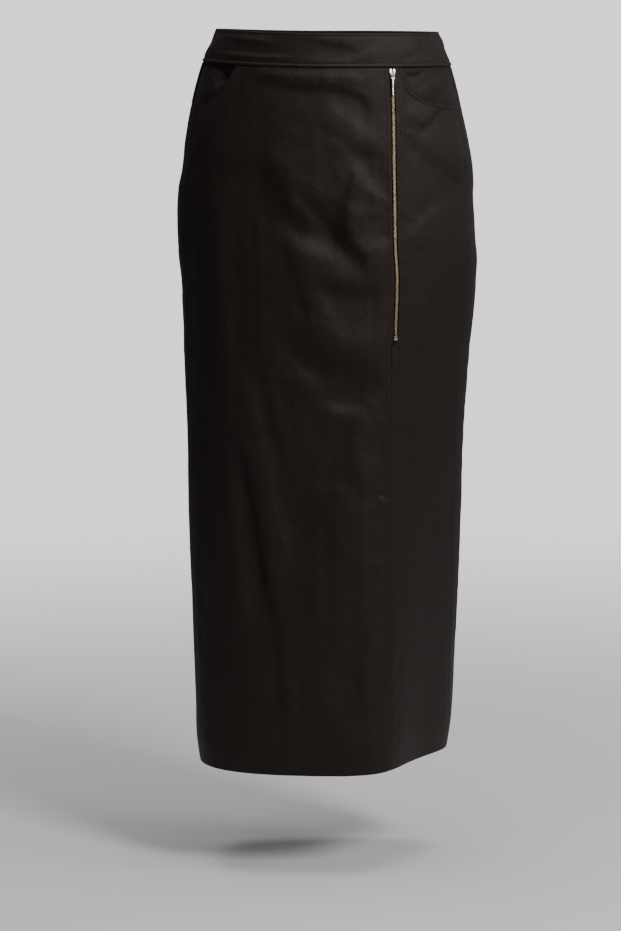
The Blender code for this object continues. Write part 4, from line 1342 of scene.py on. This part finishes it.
def make_panels(black):
    """The skirt's two front and two back panels."""
    half = SEAM_GAP / 2
    side_right, side_left = beside(right_seam, half), beside(left_seam, -half)
    fronts = [
        ("front_wide", "front_right", side_right, slit_right, WIDE, SCOOP_RIGHT, front_right_relief),
        ("front_narrow", "front_left", slit_left, side_left, NARROW, SCOOP_LEFT, front_left_relief),
    ]
    rears = [
        ("rear_left", "back_left", beside(left_seam, half), beside(back_seam, -half)),
        ("rear_right", "back_right", beside(back_seam, half), beside(right_seam_round, -half)),
    ]
    made = {}
    for name, node, left, right, width, scoop, relief in fronts:
        shares = scoop_shares(left, right, width, scoop)
        tops = scoop_tops(left, right, shares, scoop)
        made[name] = dress(panel(name, left, right, shares, tops, HEM, relief), black, [node])
    for name, node, left, right in rears:
        shares = graded(REAR_WIDTH, True, True) / REAR_WIDTH
        rear = panel(name, left, right, shares, PANEL_TOP - EDGE_ROUND, HEM, back_relief)
        made[name] = dress(rear, black, [node])
    return made


def make_pockets(black):
    """The bearers and bags that show in the pockets' mouths."""
    half = SEAM_GAP / 2
    inner_right = upright_line(math.radians(SCOOP_RIGHT.band_turn_deg) + 0.17)
    inner_left = upright_line(math.radians(SCOOP_LEFT.band_turn_deg) - 0.016)
    bearers = [
        ("bearer_right", "pocket_right", beside(right_seam, half), inner_right),
        ("bearer_left", "pocket_left", inner_left, beside(left_seam, -half)),
    ]
    made = {}
    for name, node, left, right in bearers:
        shares = graded(BEARER_WIDTH, False, False) / BEARER_WIDTH
        bearer = panel(name, left, right, shares, BEARER_TOP, BAND_SEAM - POCKET_DEPTH, pocket_relief)
        made[name] = dress(bearer, black, [node])
    return made


def make_strips(black):
    """The allowances of the long seams, which close the gaps between the panels."""
    made = {}
    side_top = BAND_SEAM - POCKET_DEPTH - 0.004
    strips = [("right", right_seam, side_top), ("left", left_seam, side_top), ("back", back_seam, STRIP_TOP)]
    for side, seam, top in strips:
        name = "allowance_" + side
        left, right = beside(seam, -STRIP_HALF), beside(seam, STRIP_HALF)
        shares = np.linspace(0, 1, 13)
        strip = panel(name, left, right, shares, top, HEM + 0.0008, strip_relief, ALLOWANCE_CLOTH)
        made[name] = dress(strip, black)
    return made


def make_allowance(black):
    """The seam allowance inside the waist, which closes the gap between the band and the panels."""
    down = np.linspace(-ALLOWANCE_UP, ALLOWANCE_DOWN, 14)
    heights = (BAND_SEAM - down)[:, None] + np.zeros(ALLOWANCE_COLUMNS)
    first = BACK_SEAM_TURN - 2 * math.pi + ALLOWANCE_PART
    shares = np.linspace(0, 1, ALLOWANCE_COLUMNS)
    turns = first + shares * (2 * math.pi - 2 * ALLOWANCE_PART) + 0 * heights
    strip = shell("waist_allowance", turns, heights, allowance_relief, ALLOWANCE_CLOTH)
    return dress(strip, black)


def make_underlap(black):
    """The vent's underlap, whose other edge lies hidden behind the narrow panel."""
    left, right = beside(slit_right, -UNDERLAP_WIDTH), beside(slit_right, 0.010)
    lap = panel("underlap", left, right, np.linspace(0, 1, 18), VENT_TOP, HEM, underlap_relief)
    return dress(lap, black, ["vent_underlap"])


def stitch_lines():
    """Every line of topstitching, by the piece that it is on."""
    lines = {"band_front": [], "band_back": [], "front_wide": [], "front_narrow": []}
    for start, end, key in (
        (right_seam, left_seam, "band_front"),
        (left_seam, back_seam, "band_back"),
        (back_seam, right_seam_round, "band_back"),
    ):
        for height in (BAND_SEAM + BAND_STITCH, BAND_TOP - BAND_EDGE_STITCH):
            level = np.array(height)
            first, last = start(level) + STITCH_CLEAR_TURN, end(level) - STITCH_CLEAR_TURN
            turns = np.linspace(first, last, 300)
            lines[key].append(cloth_line(turns, height, band_relief))

    heights = np.linspace(PANEL_TOP - STITCH_CLEAR, HEM + STITCH_CLEAR, 900)
    away = LAP_STITCH + (ZIP_STITCH_RIGHT - LAP_STITCH) * smooth_step(LAP_SETTLES, LAP_BEGINS, heights)
    turns = shifted(front_line(heights), heights, -away)
    lines["front_wide"].append(cloth_line(turns, heights, front_right_relief))

    heights = np.linspace(PANEL_TOP - STITCH_CLEAR, BOX_BOTTOM, 360)
    away = ZIP_STITCH_LEFT + 0.003 * smooth_step(LAP_BEGINS, LAP_SETTLES, heights)
    turns = shifted(front_line(heights), heights, away)
    lines["front_narrow"].append(cloth_line(turns, heights, front_left_relief))

    for key, near, far, scoop, relief in (
        ("front_wide", -LAP_STITCH, -STITCH_CLEAR, SCOOP_RIGHT, front_right_relief),
        ("front_narrow", STITCH_CLEAR, ZIP_STITCH_LEFT + 0.003, SCOOP_LEFT, front_left_relief),
    ):
        for height in (BOX_TOP, BOX_BOTTOM):
            level = np.array([height])
            lap = lap_turn(level)
            turns = np.linspace(shifted(lap, level, near)[0], shifted(lap, level, far)[0], 12)
            lines[key].append(cloth_line(turns, height, relief))
        lines[key].append(cloth_line(*offset_scoop(scoop, SCOOP_STITCH), relief))
    return lines


def make_stitches():
    material = plain("thread", THREAD_FINISH)
    threads = {}
    for key, lines in stitch_lines().items():
        threads[key] = dress(stitches("stitches_" + key, lines), material)
    return threads


def make_metal():
    metal = brass("zip_brass", (0.78, 0.68, 0.52), 0.30)
    duller = brass("zip_teeth_brass", (0.33, 0.26, 0.17), 0.34)
    dress(make_chain(), duller, ["zip_chain"])
    dress(make_slider(), metal, ["zip_slider"])
    dress(make_stop(), duller, ["zip_stop"])
    dress(make_pull(), metal, ["zip_pull"], "front_pull")


def finish_frame_nodes():
    """Better materials for the frame's own nodes that stay."""
    tapes = ("zip_tape_left", "zip_tape_right", "back_zip_tape_left", "back_zip_tape_right")
    hardware = ("back_zip_slider", "back_zip_pull")
    for material, names in ((tape_weave("zip_tape_twill"), tapes), (plain("zip_enamel", ENAMEL), hardware)):
        for name in names:
            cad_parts[name].data.materials.clear()
            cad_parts[name].data.materials.append(material)


# The flat size of each cloth piece's cut that shows, its area and what it hangs from
Cut = namedtuple("Cut", "width length area rests_on")
CUTS = {
    "front_wide": Cut(0.312, 0.905, 0.262, ["band_front"]),
    "front_narrow": Cut(0.135, 0.905, 0.105, ["band_front"]),
    "rear_left": Cut(0.275, 0.905, 0.231, ["band_back_left"]),
    "rear_right": Cut(0.305, 0.905, 0.257, ["band_back_right"]),
    "band_front": Cut(0.405, 0.056, 0.0170, []),
    "band_back_left": Cut(0.215, 0.050, 0.0098, []),
    "band_back_right": Cut(0.220, 0.050, 0.0100, []),
    "bearer_right": Cut(0.105, 0.170, 0.0166, ["band_front"]),
    "bearer_left": Cut(0.098, 0.170, 0.0152, ["band_front"]),
    "underlap": Cut(0.050, 0.194, 0.0094, ["band_front"]),
    "allowance": Cut(0.830, 0.016, 0.0132, ["band_front"]),
    "allowance_right": Cut(0.024, 0.730, 0.0175, ["rear_right"]),
    "allowance_left": Cut(0.024, 0.730, 0.0175, ["rear_left"]),
    "allowance_back": Cut(0.024, 0.720, 0.0172, ["rear_left"]),
}


def make_object():
    black = sateen("sateen_black", BLACK, 0.62)
    made = {**make_band(black), **make_panels(black)}
    made.update(make_pockets(sateen("pocket_sateen", POCKET_BLACK, 0.66)))
    made["underlap"] = make_underlap(black)
    made["allowance"] = make_allowance(black)
    made.update(make_strips(black))
    threads = make_stitches()
    make_metal()
    finish_frame_nodes()
    for name, piece in made.items():
        cut = CUTS[name]
        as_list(cut.rests_on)


# ---- The studio ----

FLOOR_HEIGHT = -1.055
CAMERA_PLACE = (-0.021, -4.75, 0.10)
CAMERA_DIP_DEG = 7.63
CAMERA_LENS = 143.16
FILL, BACKDROP = 0.10, 1.75


def make_camera():
    camera = bpy.data.cameras.new("camera")
    camera.lens = CAMERA_LENS
    camera.sensor_width = 36
    camera.clip_end = 200
    obj = added("camera", camera)
    obj.location = CAMERA_PLACE
    obj.rotation_euler = (math.radians(90 - CAMERA_DIP_DEG), 0, 0)
    bpy.context.scene.camera = obj


def make_floor():
    """A pale round floor that fades into the backdrop."""
    bpy.ops.mesh.primitive_circle_add(vertices=96, radius=4.0, fill_type="NGON")
    floor = bpy.context.active_object
    floor.name = "studio_floor"
    floor.location = (0, 0, FLOOR_HEIGHT)
    nodes = Nodes("floor_paint")
    place = nodes.add("TexCoord", {})["Object"]
    away = nodes.add("VectorMath", {0: place}, operation="LENGTH")["Value"]
    shown = nodes.ramp(away, 1.0, 0.0, 0.5, 3.2, interpolation_type="SMOOTHSTEP")
    matt = {"Base Color": (0.62, 0.62, 0.62, 1), "Roughness": 0.9, "Specular IOR Level": 0.0}
    nodes.put(nodes.shader.inputs, {**matt, "Alpha": shown})
    floor.data.materials.append(nodes.material)
    floor.visible_diffuse = False


Light = namedtuple("Light", "name place target width height power colour")
LIGHTS = [
    Light("key", (1.95, -2.9, 2.1), (0, 0, -0.3), 1.0, 1.2, 134, (1.0, 0.97, 0.94)),
    Light("side_right", (2.9, -0.9, 0.9), (0, 0, -0.2), 1.0, 1.6, 30, (0.88, 0.97, 1.0)),
    Light("rim_right", (2.4, 1.7, 0.6), (0, 0, -0.4), 0.8, 2.2, 6, (1, 1, 1)),
    Light("top", (0.0, -0.2, 2.6), (0, 0, -1.0), 2.4, 2.4, 80, (1, 1, 1)),
    Light("fill_left", (-2.8, -2.4, 0.6), (0, 0, -0.4), 1.6, 2.0, 2.5, (1, 1, 1)),
]


def make_world():
    """A pale backdrop for the camera, and a fainter fill for everything else."""
    world = bpy.data.worlds.new("studio")
    bpy.context.scene.world = world
    world.use_nodes = True
    nodes, links = world.node_tree.nodes, world.node_tree.links
    nodes.clear()
    output, mix = nodes.new("ShaderNodeOutputWorld"), nodes.new("ShaderNodeMixShader")
    path = nodes.new("ShaderNodeLightPath")
    links.new(path.outputs["Is Camera Ray"], mix.inputs[0])
    for socket, grey, strength in ((1, 1.0, FILL), (2, 0.80, BACKDROP)):
        background = nodes.new("ShaderNodeBackground")
        background.inputs["Color"].default_value = (grey, grey, grey, 1)
        background.inputs["Strength"].default_value = strength
        links.new(background.outputs[0], mix.inputs[socket])
    links.new(mix.outputs[0], output.inputs[0])


def make_lights():
    for lamp in LIGHTS:
        light = bpy.data.lights.new(lamp.name, "AREA")
        light.shape = "RECTANGLE"
        light.size, light.size_y = lamp.width, lamp.height
        light.energy = lamp.power
        light.color = lamp.colour
        obj = added(lamp.name, light)
        obj.location = lamp.place
        direction = Vector(lamp.target) - Vector(lamp.place)
        obj.rotation_euler = direction.to_track_quat("-Z", "Y").to_euler()


make_camera()
make_floor()
make_world()
make_lights()
make_object()
